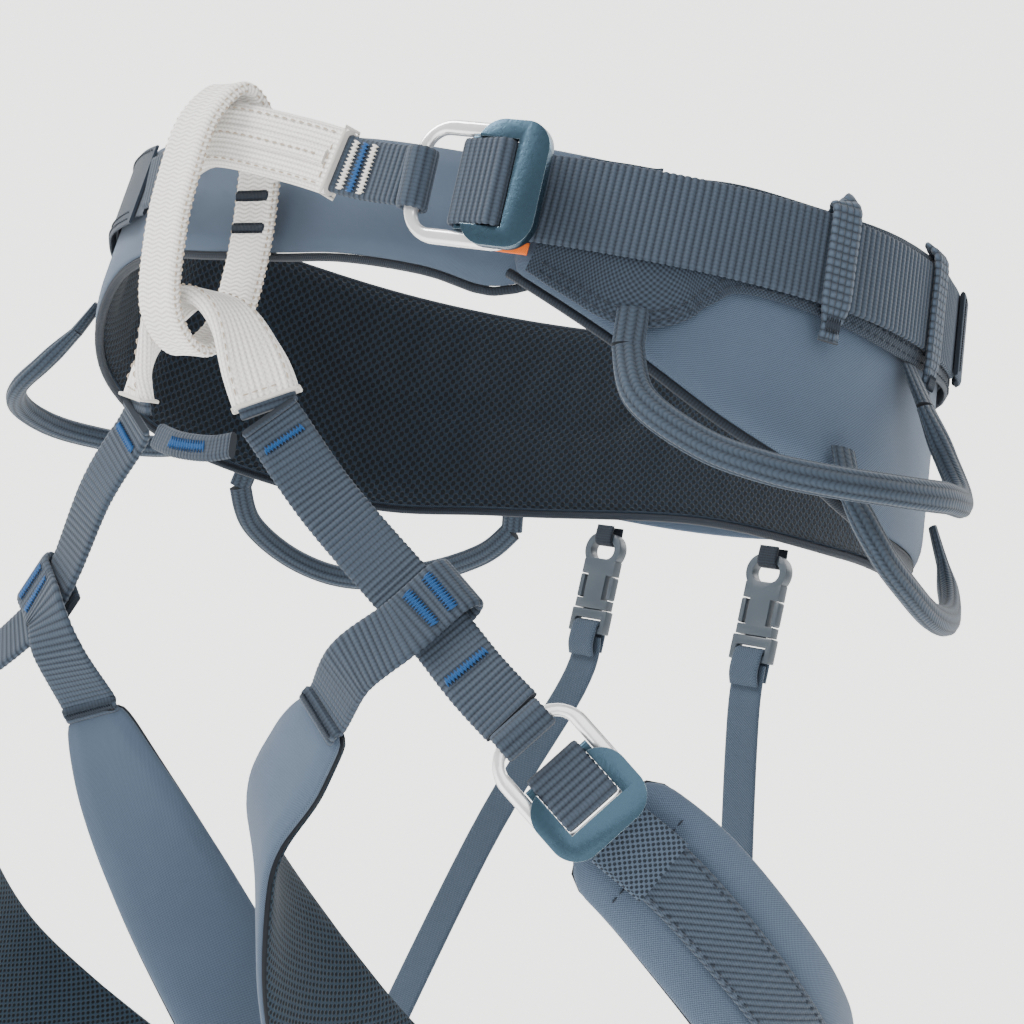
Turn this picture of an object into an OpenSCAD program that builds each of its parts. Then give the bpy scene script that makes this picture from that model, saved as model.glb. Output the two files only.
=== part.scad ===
// Climbing harness: padded waist belt, belay loop, tie-in points and two adjustable leg loops.
// Frame: millimetres, +Z up, -Y is the wearer's front and +X the wearer's left.
// The origin is the centre of the waist opening, at the middle of the waist webbing's height.

/* [Waist belt] */
// Half the width of the waist ring, at the webbing
waist_half_width = 164; // [150:1:180]
// Depth of the waist ring from its centre to the back
waist_rear_depth = 133; // [120:1:150]
// Depth of the waist ring from its centre to the front
waist_front_depth = 100; // [92:1:112]
// Lean of the belt: its lower edge flares out over the hips, in degrees
belt_flare = 6; // [0:0.5:9]
// Width of the waist webbing
waist_webbing_width = 25; // [22:1:28]
// Thickness of one layer of webbing
webbing_thickness = 1.8; // [1.4:0.1:2.2]

/* [Belay loop and tie-in points] */
// Width of the belay loop's webbing
belay_width = 18; // [14:1:20]
// Thickness of the belay loop's doubled webbing
belay_thickness = 4; // [3:0.5:4.5]
// Width of the tie-in webbing
tie_in_width = 17; // [14:1:18]
// Width of the protective sleeves on the tie-in points
sleeve_width = 20; // [19:0.5:21]

/* [Leg loops] */
// Width of the risers and of the leg loops' webbing
leg_webbing_width = 18; // [15:1:20]
// Thickness of the leg padding's outer layer
leg_shell_thickness = 4.5; // [3:0.5:5]
// Thickness of the leg padding's mesh layer
leg_liner_thickness = 3; // [2:0.5:3.5]

/* [Gear loops] */
// Width of a gear loop's tube
gear_tube_width = 9; // [6:0.5:10]
// Thickness of a gear loop's tube
gear_tube_thickness = 6.5; // [5:0.5:8]

/* [Rear clips] */
// Width of the rear elastic straps
elastic_width = 14; // [11:1:15]
// Width of the rear side-release clips
clip_width = 18; // [17:0.5:20]

/* [Hidden] */
$fn = 32;

slate = [0.27, 0.32, 0.38];
slate_light = [0.36, 0.42, 0.49];
navy = [0.08, 0.11, 0.15];
off_white = [0.88, 0.87, 0.85];
silver = [0.78, 0.78, 0.79];
gunmetal = [0.17, 0.24, 0.29];
clip_grey = [0.42, 0.46, 0.50];

// ---- small functions ----

function unit(v) = v / norm(v);

// One Catmull-Rom step between b and c
function curve_step(a, b, c, d, t) =
  0.5 * (2 * b + (c - a) * t + (2 * a - 5 * b + 4 * c - d) * t * t + (3 * b - a - 3 * c + d) * t * t * t);

// Smooth rows through the given rows, with the given number of steps in each gap
function smooth(rows, steps) =
  let (last = len(rows) - 1)
  [for (i = [0:last - 1]) for (j = [0:steps - 1])
     curve_step(rows[max(i - 1, 0)], rows[i], rows[i + 1], rows[min(i + 2, last)], j / steps),
   rows[last]];

// The same for a closed loop, without repeating the first row
function smooth_closed(rows, steps) =
  let (n = len(rows))
  [for (i = [0:n - 1]) for (j = [0:steps - 1])
     curve_step(rows[(i + n - 1) % n], rows[i], rows[(i + 1) % n], rows[(i + 2) % n], j / steps)];

// A point on the waist ring: angle from the front towards the wearer's left, height, distance outwards
function ring_point(angle, height, out) =
  let (o = out - height * tan(belt_flare),
       depth = cos(angle) > 0 ? waist_front_depth : waist_rear_depth)
  [sin(angle) * (waist_half_width + o), -cos(angle) * (depth + o), height];

// The way out of the waist ring at an angle
function ring_normal(angle) =
  let (depth = cos(angle) > 0 ? waist_front_depth : waist_rear_depth)
  unit([sin(angle) / waist_half_width, -cos(angle) / depth, 0]);

// Mirror rows of [x, y, z, nx, ny, nz, width] from the wearer's left to the right
function mirrored(rows) = [for (r = rows) [-r[0], r[1], r[2], -r[3], r[4], r[5], r[6]]];

// Sections in the plane across a path: [across, outwards], counter-clockwise
function flat_section(width, thickness, lift = 0) =
  [[-width / 2, lift - thickness / 2], [width / 2, lift - thickness / 2],
   [width / 2, lift + thickness / 2], [-width / 2, lift + thickness / 2]];

function pad_section(width, thickness, lift = 0) =
  let (rim = thickness * 0.3, inset = thickness * 0.6)
  [[-width / 2, lift - rim], [-width / 2 + inset, lift - thickness / 2],
   [width / 2 - inset, lift - thickness / 2], [width / 2, lift - rim],
   [width / 2, lift + rim], [width / 2 - inset, lift + thickness / 2],
   [-width / 2 + inset, lift + thickness / 2], [-width / 2, lift + rim]];

function oval_section(width, thickness, sides = 8) =
  [for (i = [0:sides - 1]) [cos(360 * i / sides) * width / 2, sin(360 * i / sides) * thickness / 2]];

// A sleeve folded round a strap, open along a slit on its outer face
function sleeve_section(width, thickness, wall) =
  let (slit = 0.4, w = width / 2, t = thickness / 2)
  [[-slit, t], [-w, t], [-w, -t], [w, -t], [w, t], [slit, t],
   [slit, t - wall], [w - wall, t - wall], [w - wall, wall - t],
   [wall - w, wall - t], [wall - w, t - wall], [-slit, t - wall]];

function path_tangent(points, i, closed) =
  let (n = len(points))
  closed ? unit(points[(i + 1) % n] - points[(i + n - 1) % n])
         : unit(points[min(i + 1, n - 1)] - points[max(i - 1, 0)]);

// Rings of points for rows of [x, y, z, nx, ny, nz, width]; sections holds one section for each row
function path_rings(rows, sections, closed = false) =
  let (points = [for (r = rows) [r[0], r[1], r[2]]])
  [for (i = [0:len(rows) - 1])
     let (t = path_tangent(points, i, closed),
          n0 = [rows[i][3], rows[i][4], rows[i][5]],
          n = unit(n0 - t * (n0 * t)),
          w = cross(t, n))
     [for (s = sections[i]) points[i] + w * s[0] + n * s[1]]];

// One closed solid through rings that all have the same number of points
// flip chooses the other diagonal in each wall, so that two twisted layers lie face to face.
module skin(rings, closed = false, flip = false) {
  count = len(rings);
  sides = len(rings[0]);
  points = [for (ring = rings) for (p = ring) p];
  walls = [for (i = [0:(closed ? count - 1 : count - 2)]) for (j = [0:sides - 1])
    let (a = i * sides + j, b = i * sides + (j + 1) % sides,
         c = ((i + 1) % count) * sides + (j + 1) % sides, d = ((i + 1) % count) * sides + j)
    each (flip ? [[a, b, d], [b, c, d]] : [[a, b, c], [a, c, d]])];
  caps = closed ? [] : [[for (j = [sides - 1:-1:0]) j], [for (j = [0:sides - 1]) (count - 1) * sides + j]];
  polyhedron(points, concat(walls, caps), convexity = 10);
}

// A flat strap along rows of [x, y, z, nx, ny, nz, width]
module strap(rows, thickness, lift = 0, closed = false, flip = false) {
  skin(path_rings(rows, [for (r = rows) flat_section(r[6], thickness, lift)], closed), closed, flip);
}

// A padded band along the same kind of rows
module pad(rows, thickness, lift = 0, flip = false) {
  skin(path_rings(rows, [for (r = rows) pad_section(r[6], thickness, lift)]), false, flip);
}

// ---- waist belt ----

liner_out = -12;
liner_depth = 4;
shell_out = -7.7;
shell_depth = 4;
webbing_out = -3.5;
band_out = -2.1;
band_depth = 1;
tail_out = -0.9;

// Belt outline: angle, top edge, bottom edge, shift outwards. It runs from the wearer's left front
// round the back and across the front to the tongue, which lies inside the belt's first end.
belt_outline = [
  [36, 17, -20, 0], [50, 15, -34, 0], [65, 14, -49, 0], [80, 14, -58, 0], [95, 17, -66, 0],
  [110, 18, -68, 0], [130, 16, -69, 0], [150, 15, -61, 0], [180, 15, -53, 0], [210, 15, -61, 0],
  [230, 16, -69, 0], [250, 18, -68, 0], [265, 19, -64, 0], [280, 21, -56, 0], [295, 24, -46, 0],
  [308, 25, -34, 0], [320, 25, -22, -1], [334, 24, -17, -4], [346, 24, -17, -10],
  [358, 23, -17, -14], [370, 21, -17, -13], [384, 17, -20, -10], [393, 15, -24, -9.5], [399, 12, -20, -9.5]
];
belt_rows = smooth(belt_outline, 5);

// Rings of a belt layer: its inner face, its thickness and how far it stays inside the outline
function belt_layer(rows, face, depth, inset) =
  let (c = min(1.2, depth / 3))
  [for (r = rows)
     let (a = r[0], zt = r[1] - inset, zb = r[2] + inset, o1 = r[3] + face, o2 = o1 + depth)
     [ring_point(a, zb + c, o1), ring_point(a, zb, o1 + c), ring_point(a, zb, o2 - c),
      ring_point(a, zb + c, o2), ring_point(a, zt - c, o2), ring_point(a, zt, o2 - c),
      ring_point(a, zt, o1 + c), ring_point(a, zt - c, o1)]];

// Rings of a flat strip on the ring between two heights, each a function of the row
function strip_rings(rows, face, depth) =
  [for (r = rows)
     [ring_point(r[0], r[2], r[3] + face), ring_point(r[0], r[2], r[3] + face + depth),
      ring_point(r[0], r[1], r[3] + face + depth), ring_point(r[0], r[1], r[3] + face)]];

module belt_shell() {
  color(slate_light) skin(belt_layer(belt_rows, shell_out, shell_depth, 0));
}

module belt_liner() {
  color(navy) skin(belt_layer(belt_rows, liner_out, liner_depth, 1.5));
}

// Dark piping under the lower edge, between the two layers
module belt_binding() {
  drop = 2.6;
  rows = [for (r = belt_rows) [r[0], r[2] - 0.2, r[2] - 0.2 - drop, r[3]]];
  color(navy) skin(strip_rings(rows, -9.2, 3.2));
}

// Flat band that holds the structural webbing on the belt, with its V on the wearer's left
band_outline = [
  [40, 14, -21, 0], [46, 14, -27, 0], [52, 14, -31, 0], [57, 14, -23, 0], [63, 14, -16, 0],
  [75, 13.5, -15.5, 0], [95, 15, -18, 0], [120, 15, -16, 0], [150, 14, -15, 0], [180, 14, -15, 0],
  [210, 14, -15, 0], [240, 15, -16, 0], [265, 16, -16, 0], [290, 19, -12, 0], [308, 22, -7, 0],
  [320, 22, -7, -0.7], [329, 21, -7, -1.2]
];
module channel_band() {
  color(slate) skin(strip_rings(smooth(band_outline, 6), band_out, band_depth));
}

// Structural webbing inside the channel, from the left front round to the right front
webbing_outline = [
  [40, 0], [60, 0], [90, 0], [130, 0], [180, 0], [230, 0], [265, 1], [290, 4], [308, 8],
  [320, 8], [332, 7]
];
module waist_webbing() {
  half = waist_webbing_width / 2 - 1;
  front = 308;
  rows = [for (r = smooth(webbing_outline, 10))
    [r[0], r[1] + half, r[1] - half, r[0] > front ? (front - r[0]) / 16 : 0]];
  color(slate) skin(strip_rings(rows, webbing_out, 1.2));
}

// Panel sewn over the back of the belt
module rear_panel() {
  rows = [for (a = [152:4:208]) let (s = abs(a - 180) / 28) [a, -19, -57 + 3 * s * s, 0]];
  color(slate) skin(strip_rings(rows, -3.5, 2.4));
}

// Free end of the waist strap, laid back along the wearer's left, with a folded end
module waist_strap_tail() {
  half = waist_webbing_width / 2;
  rows = [for (a = [37:5:117]) [a, half, -half, 0]];
  end_rows = [for (a = [113:2:117]) [a, half, -half, 0]];
  color(slate) {
    skin(strip_rings(rows, tail_out, webbing_thickness));
    skin(strip_rings(end_rows, tail_out + webbing_thickness + 0.1, webbing_thickness));
  }
}

// A strap keeper round the webbing at one angle, with its gathered knot below
keeper_thickness = 1.6;
keeper_play = 0.2;
knot_drop = 7;
knot_out = -1;
knot_depth = 4;
module keeper(angle, width, top, bottom) {
  span = width / 2 / waist_half_width * 180 / PI;
  rows = [for (k = [-1:1]) [angle + k * span, top, bottom, 0]];
  knot = [for (k = [-1:1]) [angle + k * span, bottom - keeper_play, bottom - knot_drop, 0]];
  skin(strip_rings(rows, tail_out + webbing_thickness + keeper_play, keeper_thickness));
  skin(strip_rings(knot, knot_out, knot_depth));
}
module front_keeper() {
  color(slate) keeper(77.5, 9, 15, -15.5);
}
module side_keeper() {
  color(slate) keeper(100, 8, 15, -19);
}
module right_keeper() {
  color(slate) skin(strip_rings([for (a = [296:2:302]) [a, 24, 0, 0]], -0.9, 2));
}

// Small label that shows under the waist buckle
module size_tag() {
  rows = [for (a = [34:2:38]) [a, -12.5, -16, 0.2]];
  color([0.93, 0.45, 0.15]) skin(strip_rings(rows, -3.6, 0.7));
}

// ---- buckles ----
// Buckle frame: x along the strap, z across it and -y outwards. The ring's back face is at y = 0.

ring_bar = 4.2;
ring_depth = 3.4;
ring_corner = 11;
ring_inner_corner = 5;
plate_pivot = [-1.5, -2.3];
plate_pin = 1.3;
plate_back_face = -4.3;
plate_front_face = -7.3;
arm_rise = 9;
plate_front = 13.6;
plate_overhang = 3.5;
plate_corner = 8;
plate_reach = 22;
wrap_far = [9.5, -6];
buckle_clearance = 0.3;

function ring_opening(webbing_width) = 0.72 * webbing_width + 8.8;
function ring_length(webbing_width) = webbing_width / 2 + 26.5;

module rounded_outline(length, width, radius) {
  square([length - 2 * radius, width], center = true);
  square([length, width - 2 * radius], center = true);
  for (x = [-1, 1], z = [-1, 1])
    translate([x * (length / 2 - radius), z * (width / 2 - radius)]) circle(radius);
}

// Polished ring: the fixed strap goes round its left bar
module buckle_frame(webbing_width) {
  opening = ring_opening(webbing_width);
  length = ring_length(webbing_width);
  color(silver) rotate([90, 0, 0]) linear_extrude(ring_depth) difference() {
    rounded_outline(length, opening + 2 * ring_bar, ring_corner);
    rounded_outline(length - 2 * ring_bar, opening, ring_inner_corner);
  }
}

// Dark plate: a pin inside the ring, two arms and a wide front edge over the ring's right bar
module buckle_plate(webbing_width) {
  inner = webbing_width / 2 - 0.25;
  outer = ring_opening(webbing_width) / 2 - buckle_clearance;
  half = ring_opening(webbing_width) / 2 + ring_bar;
  end = ring_length(webbing_width) / 2 + plate_overhang;
  x = plate_pivot[0];
  y = plate_pivot[1];
  arm = [[x, y + plate_pin], [x - plate_pin, y], [x, y - plate_pin], [x + arm_rise, plate_front_face],
         [plate_front + 1, plate_front_face], [plate_front + 1, plate_back_face],
         [x + arm_rise + 1, plate_back_face]];
  color(gunmetal) {
    translate([x, y, -outer]) cylinder(h = 2 * outer, r = plate_pin);
    translate([0, 0, inner]) linear_extrude(outer - inner) polygon(arm);
    translate([0, 0, -outer]) linear_extrude(outer - inner) polygon(arm);
    translate([0, plate_back_face, 0]) rotate([90, 0, 0])
      linear_extrude(plate_back_face - plate_front_face) difference() {
        translate([end - plate_reach / 2, 0]) rounded_outline(plate_reach, 2 * half, plate_corner);
        translate([plate_front - plate_reach, -inner]) square([plate_reach, 2 * inner]);
      }
  }
}

// Area within a distance of the line between two points
module capsule(a, b, radius) {
  length = norm(b - a);
  translate(a) circle(radius);
  translate(b) circle(radius);
  translate(a) rotate(atan2(b[1] - a[1], b[0] - a[0])) translate([0, -radius]) square([length, 2 * radius]);
}

// Strap folded round the plate's pin
module buckle_wrap(webbing_width) {
  width = webbing_width - 1.2;
  inner = plate_pin + buckle_clearance;
  color(slate) translate([0, 0, -width / 2]) linear_extrude(width) difference() {
    capsule(plate_pivot, wrap_far, inner + webbing_thickness);
    capsule(plate_pivot, wrap_far, inner);
  }
}

// Strap sewn round the ring's left bar
module bar_loop(webbing_width, strap_width) {
  inner = norm([ring_bar, ring_depth]) / 2 + 0.1;
  x = (ring_bar - ring_length(webbing_width)) / 2;
  translate([x, -ring_depth / 2, -strap_width / 2]) linear_extrude(strap_width) difference() {
    circle(inner + webbing_thickness);
    circle(inner);
  }
}

waist_buckle_angle = 31;
module place_waist_buckle() {
  n = ring_normal(waist_buckle_angle);
  translate(ring_point(waist_buckle_angle, 0, 3.6)) rotate([0, 0, atan2(n[0], -n[1])]) children();
}
module waist_buckle_frame() {
  place_waist_buckle() buckle_frame(waist_webbing_width);
}
module waist_buckle_plate() {
  place_waist_buckle() buckle_plate(waist_webbing_width);
}
module waist_buckle_wrap() {
  place_waist_buckle() buckle_wrap(waist_webbing_width);
}
module tie_in_bar_loop() {
  color(slate) place_waist_buckle() bar_loop(waist_webbing_width, tie_in_width);
}

// ---- tie-in points and belay loop ----

upper_tie_in = smooth([
  [65.4, -96.7, 1, 0.26, -0.96, 0, tie_in_width], [47, -98.5, 3, 0.2, -0.98, 0, tie_in_width],
  [22, -102, 8, 0.15, -0.99, 0, tie_in_width], [-8, -107.5, 12, 0, -1, 0, tie_in_width],
  [-26, -105, 9, -0.2, -0.97, 0, tie_in_width], [-40, -99.5, 5, -0.25, -0.95, 0, tie_in_width],
  [-62, -94, 3, -0.26, -0.96, 0, tie_in_width]
], 6);
arch_width = tie_in_width - 3;
lower_tie_in = smooth([
  [25.5, -93.2, -67.5, 0.61, -0.79, 0.08, tie_in_width], [20, -97, -57, 0.7, -0.66, 0.25, tie_in_width],
  [11, -101.5, -44, 0.55, -0.4, 0.75, arch_width], [2, -104, -38.5, 0.15, -0.15, 1, arch_width],
  [-8, -104, -37.5, 0, -0.1, 1, arch_width], [-19, -104, -39.5, -0.2, -0.15, 0.95, arch_width],
  [-30.5, -101, -57.5, -0.5, -0.85, 0.15, tie_in_width], [-33, -98, -72, -0.1, -1, 0, tie_in_width]
], 6);
sleeve_thickness = 5.4;
sleeve_wall = 1.2;

function part_of(rows, first, last) = [for (i = [first:last]) rows[i]];

module sleeve(rows) {
  extra = sleeve_width - tie_in_width;
  color(off_white)
    skin(path_rings(rows, [for (r = rows) sleeve_section(r[6] + extra, sleeve_thickness, sleeve_wall)]));
}
module upper_tie_in_webbing() {
  color(slate) strap(upper_tie_in, 2.2);
}
module upper_tie_in_sleeve() {
  sleeve(part_of(upper_tie_in, 8, 30));
}
module lower_tie_in_webbing() {
  color(slate) strap(lower_tie_in, 2.2);
}
module lower_tie_in_sleeve() {
  sleeve(part_of(lower_tie_in, 2, 40));
}

// Short strap that joins the two risers under the tie-in point
module crossbar_strap() {
  rows = smooth([
    [-20, -97.5, -79, 0, -1, 0.1, 8], [-8, -98, -81, 0, -1, 0.1, 8], [6, -97, -81, 0, -1, 0.1, 8],
    [15, -95.5, -79, 0, -1, 0.1, 8]
  ], 4);
  color(slate) strap(rows, 3);
}

belay_x = -8;
belay_rows = smooth_closed([
  [belay_x, -108, 26, 0, -0.2, 1, belay_width], [belay_x, -117.5, 14, 0, -0.95, 0.3, belay_width],
  [belay_x, -120, -6, 0, -1, 0, belay_width], [belay_x, -119.5, -24, 0, -1, 0, belay_width],
  [belay_x, -115, -44.5, 0, -0.8, -0.6, belay_width], [belay_x, -102.5, -53, 0, 0, -1, belay_width],
  [belay_x, -91, -42, 0, 0.95, -0.3, belay_width], [belay_x, -89, -24, 0, 1, 0, belay_width],
  [belay_x, -90.5, -4, 0, 1, 0, belay_width], [belay_x, -95, 16, 0, 0.95, 0.3, belay_width]
], 4);
module belay_loop() {
  color(off_white) strap(belay_rows, belay_thickness, 0, true);
}

// ---- gear loops ----
// Rows of angle, height and distance outwards on the waist ring

left_front_gear = [
  [51.5, -37, 2], [53.5, -51, 8], [60, -60, 14], [66, -63, 20], [72, -63, 24], [80, -61, 26],
  [89, -58, 25], [95.5, -55, 20], [98, -43, 11], [97, -30, 4.5]
];
left_rear_gear = [
  [84, -60, 2.5], [87, -70, 6], [93, -80, 8], [101, -86, 8], [110, -84, 7], [117, -76, 5], [121, -66, 2.5]
];
right_front_gear = [
  [-60, -37, 3], [-60, -51, 12], [-62, -60, 20], [-68, -65, 25], [-77, -68, 25], [-86, -68, 23],
  [-95, -66, 18], [-101, -60, 12], [-104, -48, 6], [-104, -30, 3]
];
right_rear_gear = [
  [-109, -73, 3], [-113, -86, 10], [-121, -96, 17], [-129, -98, 19], [-138, -90, 16],
  [-146, -78, 9], [-150, -67, 3]
];

function gear_rows(spots) =
  [for (s = smooth(spots, 4))
     let (p = ring_point(s[0], s[1], s[2]), n = ring_normal(s[0]))
     [p[0], p[1], p[2], n[0], n[1], 0.4, 1]];
module gear_loop(spots) {
  rows = gear_rows(spots);
  section = oval_section(gear_tube_width, gear_tube_thickness);
  color(slate) skin(path_rings(rows, [for (r = rows) section]));
}
module left_front_gear_loop() {
  gear_loop(left_front_gear);
}
module right_front_gear_loop() {
  gear_loop(right_front_gear);
}
module left_rear_gear_loop() {
  gear_loop(left_rear_gear);
}
module right_rear_gear_loop() {
  gear_loop(right_rear_gear);
}
module haul_loop() {
  rows = gear_rows([[171, 2, 3], [171.5, -9, 8], [175, -18, 12], [180, -21, 13], [185, -18, 12],
                    [188.5, -9, 8], [189, 2, 3]]);
  section = oval_section(6, 4);
  color(slate) skin(path_rings(rows, [for (r = rows) section]));
}

// ---- leg loops ----
// Rows of x, y, z and the outward direction, then the width. The right leg's rows are given on the
// wearer's left too, and mirrored.

w = leg_webbing_width;
left_riser_rows = [
  [28.6, -91.2, -72.5, 0.61, -0.79, 0.08, w], [46.5, -80.5, -91, 0.61, -0.79, 0.08, w],
  [81.5, -68, -116, 0.58, -0.81, 0.08, w], [102, -64, -130, 0.62, -0.78, 0.05, w],
  [116.4, -61.7, -138.2, 0.68, -0.73, 0, w]
];
right_riser_rows = [
  [33, -97.5, -77.5, 0, -1, 0, w], [46, -97, -98, 0, -1, 0, w],
  [62, -94, -134, 0.1, -1, 0.1, w], [85, -98, -159, 0.4, -0.9, 0.05, w],
  [105.4, -99.7, -176.2, 0.68, -0.73, 0, w]
];

// Front band: from the inner padding up over the riser, folded round its edge and back behind it
fold_gap = 3.6;
fold_reach = 10;
function band_rows(start, riser) =
  let (spot = [riser[2][0], riser[2][1], riser[2][2]],
       along = unit([for (k = [0:2]) riser[3][k] - riser[1][k]]),
       face = [riser[2][3], riser[2][4], riser[2][5]],
       n = unit(face - along * (face * along)),
       u = cross(n, along),
       row = function (across, out, normal)
         let (p = spot + u * across + n * out) [p[0], p[1], p[2], normal[0], normal[1], normal[2], w])
  concat(start, [row(-8, fold_gap, n), row(2, fold_gap, n), row(fold_reach, fold_gap, n),
                 row(fold_reach + fold_gap, 0, u), row(fold_reach, -fold_gap, -n), row(0, -fold_gap, -n),
                 row(-8, -fold_gap, -n)]);
left_band_start = [
  [53.2, -70.5, -147.1, 0.35, -0.93, 0.1, w], [66, -77, -134.5, 0.45, -0.88, 0.1, w]
];
right_band_start = [
  [53.4, -76.7, -162.8, -0.45, -0.88, 0.1, w], [51.5, -93.5, -149, -0.3, -0.95, 0.1, w]
];
// Padding: from the inner front, under and round the back of the thigh, to the outer front
left_pad_rows = [
  [51.5, -69, -149, 0.3, -0.95, 0.1, 20], [39, -66.5, -164, 0.1, -1, 0.1, 29],
  [24, -60, -192, -0.4, -0.9, 0.1, 38], [21, -20, -241, -0.95, -0.3, 0, 48],
  [19, 34, -276, -1, 0.1, 0, 54], [42, 88, -290, -0.6, 0.8, 0, 56], [92, 108, -274, 0.15, 0.98, 0.1, 56],
  [148, 78, -240, 0.75, 0.65, 0.1, 53], [159, 30, -207, 0.95, -0.3, 0.05, 44],
  [148, -14, -175, 0.8, -0.6, 0, 41], [131, -36, -159.5, 0.68, -0.73, 0, 36]
];
right_pad_rows = [
  [53.4, -74.5, -165.4, -0.45, -0.88, 0.1, 20], [47, -60, -188, -0.65, -0.75, 0.1, 30],
  [38, -36, -218, -0.85, -0.5, 0.05, 38], [28, 4, -262, -0.98, -0.15, 0, 44],
  [26, 44, -302, -0.98, 0.2, 0, 50], [48, 84, -328, -0.6, 0.8, 0, 54], [98, 98, -332, 0.1, 0.98, 0.1, 54],
  [156, 62, -316, 0.75, 0.65, 0.1, 52], [177, -2, -276, 0.97, -0.2, 0.05, 46],
  [156, -50, -231, 0.8, -0.6, 0, 42], [123, -71, -199, 0.66, -0.75, 0, 36]
];

// Steps in each gap between two padding rows
pad_steps = 8;

module leg_riser(rows) {
  color(slate) strap(smooth(rows, 6), 2.4);
}
module leg_front_band(rows) {
  color(slate) strap(smooth(rows, 5), 2.2);
}
module leg_shell(rows) {
  color(slate_light) pad(smooth(rows, pad_steps), leg_shell_thickness);
}
module leg_liner(rows) {
  lift = -(leg_shell_thickness + leg_liner_thickness) / 2 - 0.2;
  color(navy) pad(smooth(rows, pad_steps), leg_liner_thickness, lift, true);
}

// The strap on the outer padding, the knit cover over its start and the cover sewn over the back of
// the padding are laid on the padding's outer end. Places count the padding's rows, in steps.
strap_lift = leg_shell_thickness / 2 + 0.8 + webbing_thickness / 2;
cover_lift = strap_lift + webbing_thickness / 2 + 1;
function outer_end(rows, first, last, lift, width) =
  [for (r = part_of(smooth(rows, pad_steps), first * pad_steps, last * pad_steps))
     let (n = unit([r[3], r[4], r[5]]))
     [r[0] + n[0] * lift, r[1] + n[1] * lift, r[2] + n[2] * lift, r[3], r[4], r[5], width]];
module leg_strap(rows) {
  color(slate)
    strap(outer_end(rows, 7.75, 9.75, strap_lift, leg_webbing_width), webbing_thickness, flip = true);
}
module leg_knit_cover(rows) {
  color(slate_light) strap(outer_end(rows, 9.25, 9.75, cover_lift, leg_webbing_width + 2), 1.2, flip = true);
}
module leg_rear_cover(rows) {
  color(slate_light) strap(outer_end(rows, 5.75, 7.5, leg_shell_thickness / 2 + 1.1, 42), 1, flip = true);
}

left_buckle = [126.5, -48.9, -150];
right_buckle = [115.5, -86.9, -188];
buckle_yaw = 45;
buckle_slope = 36;
module place_leg_buckle(spot) {
  translate(spot) rotate([0, buckle_slope, buckle_yaw]) children();
}
module riser_end(spot) {
  place_leg_buckle(spot) bar_loop(leg_webbing_width, leg_webbing_width - 2);
}

// ---- rear elastics and clips ----

clip_x = 40;
clip_y = 129.5;
clip_ring_z = -69;
clip_depth = 4;
ring_flat = 2.5;
ring_hole = 3.5;
socket_bottom = -92;
plug_height = 9;
strap_slot_drop = 5;
strap_slot_height = 3;
strap_slot_margin = 2.5;
tongue_width = 8;
tongue_length = 11;
tongue_thickness = 1.6;
tongue_play = 0.2;
latch_travel = 1.5;
latch_width = 2.2;
latch_height = 9;
latch_corner = 0.8;
latch_set_back = 0.5;
latch_middle = 8.5;
clip_play = 0.3;
tab_top = -59.4;
tab_rise = 1.6;
tab_side_play = 1.8;
tab_wall = 1;
tab_window = 5.6;
function clip_body_half() = clip_width / 2 - 1;

// Belt's tab: a loop through the clip's ring
module clip_tab() {
  width = 2 * (ring_flat + ring_hole - tab_side_play);
  depth = clip_depth + 2 * (tab_wall + clip_play);
  bottom = clip_ring_z + tab_rise;
  color(navy) translate([clip_x, clip_y, 0]) difference() {
    translate([-width / 2, -depth / 2, bottom]) cube([width, depth, tab_top - bottom]);
    translate([-width, tab_wall - depth / 2, bottom + tab_wall])
      cube([2 * width, depth - 2 * tab_wall, tab_window]);
  }
}

// Draw an outline of x and height in the clip's plane, between two depths
module clip_plate(depth) {
  translate([clip_x, clip_y + depth / 2, 0]) rotate([90, 0, 0]) linear_extrude(depth) children();
}

// Upper half: a ring for the belt's tab over a body with a slot for the tongue and two side windows
module clip_socket() {
  body_top = clip_ring_z - 4;
  half = clip_body_half();
  window_half = latch_travel + latch_set_back + latch_width / 2 + clip_play;
  slot_width = tongue_width + 2 * tongue_play;
  color(clip_grey) difference() {
    clip_plate(clip_depth) difference() {
      union() {
        translate([0, clip_ring_z]) capsule([-ring_flat, 0], [ring_flat, 0], clip_width / 2 - ring_flat);
        translate([-half, socket_bottom]) square([2 * half, body_top - socket_bottom]);
      }
      translate([0, clip_ring_z]) capsule([-ring_flat, 0], [ring_flat, 0], ring_hole);
      for (side = [-1, 1])
        translate([side * half, socket_bottom + latch_middle])
          square([2 * window_half, latch_height + 2 * clip_play], center = true);
    }
    clip_plate(tongue_thickness + 2 * tongue_play)
      translate([-slot_width / 2, socket_bottom - 1]) square([slot_width, tongue_length + 1]);
  }
}

// Lower half: the tongue in the socket and the bar that the elastic strap goes round
module clip_plug() {
  top = socket_bottom - clip_play;
  color(clip_grey) {
    clip_plate(clip_depth) difference() {
      translate([-clip_width / 2, top - plug_height]) square([clip_width, plug_height]);
      translate([0, top - strap_slot_drop])
        square([clip_width - 2 * strap_slot_margin, strap_slot_height], center = true);
    }
    clip_plate(tongue_thickness)
      translate([-tongue_width / 2, top - 1]) square([tongue_width, tongue_length]);
  }
}

// Sprung side latch of the plug, which shows in the socket's window
module clip_latch(side) {
  x = clip_body_half() - latch_set_back;
  color(clip_grey) clip_plate(clip_depth - 0.8)
    translate([side * x, socket_bottom + latch_middle])
      rounded_outline(latch_width, latch_height, latch_corner);
}

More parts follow.
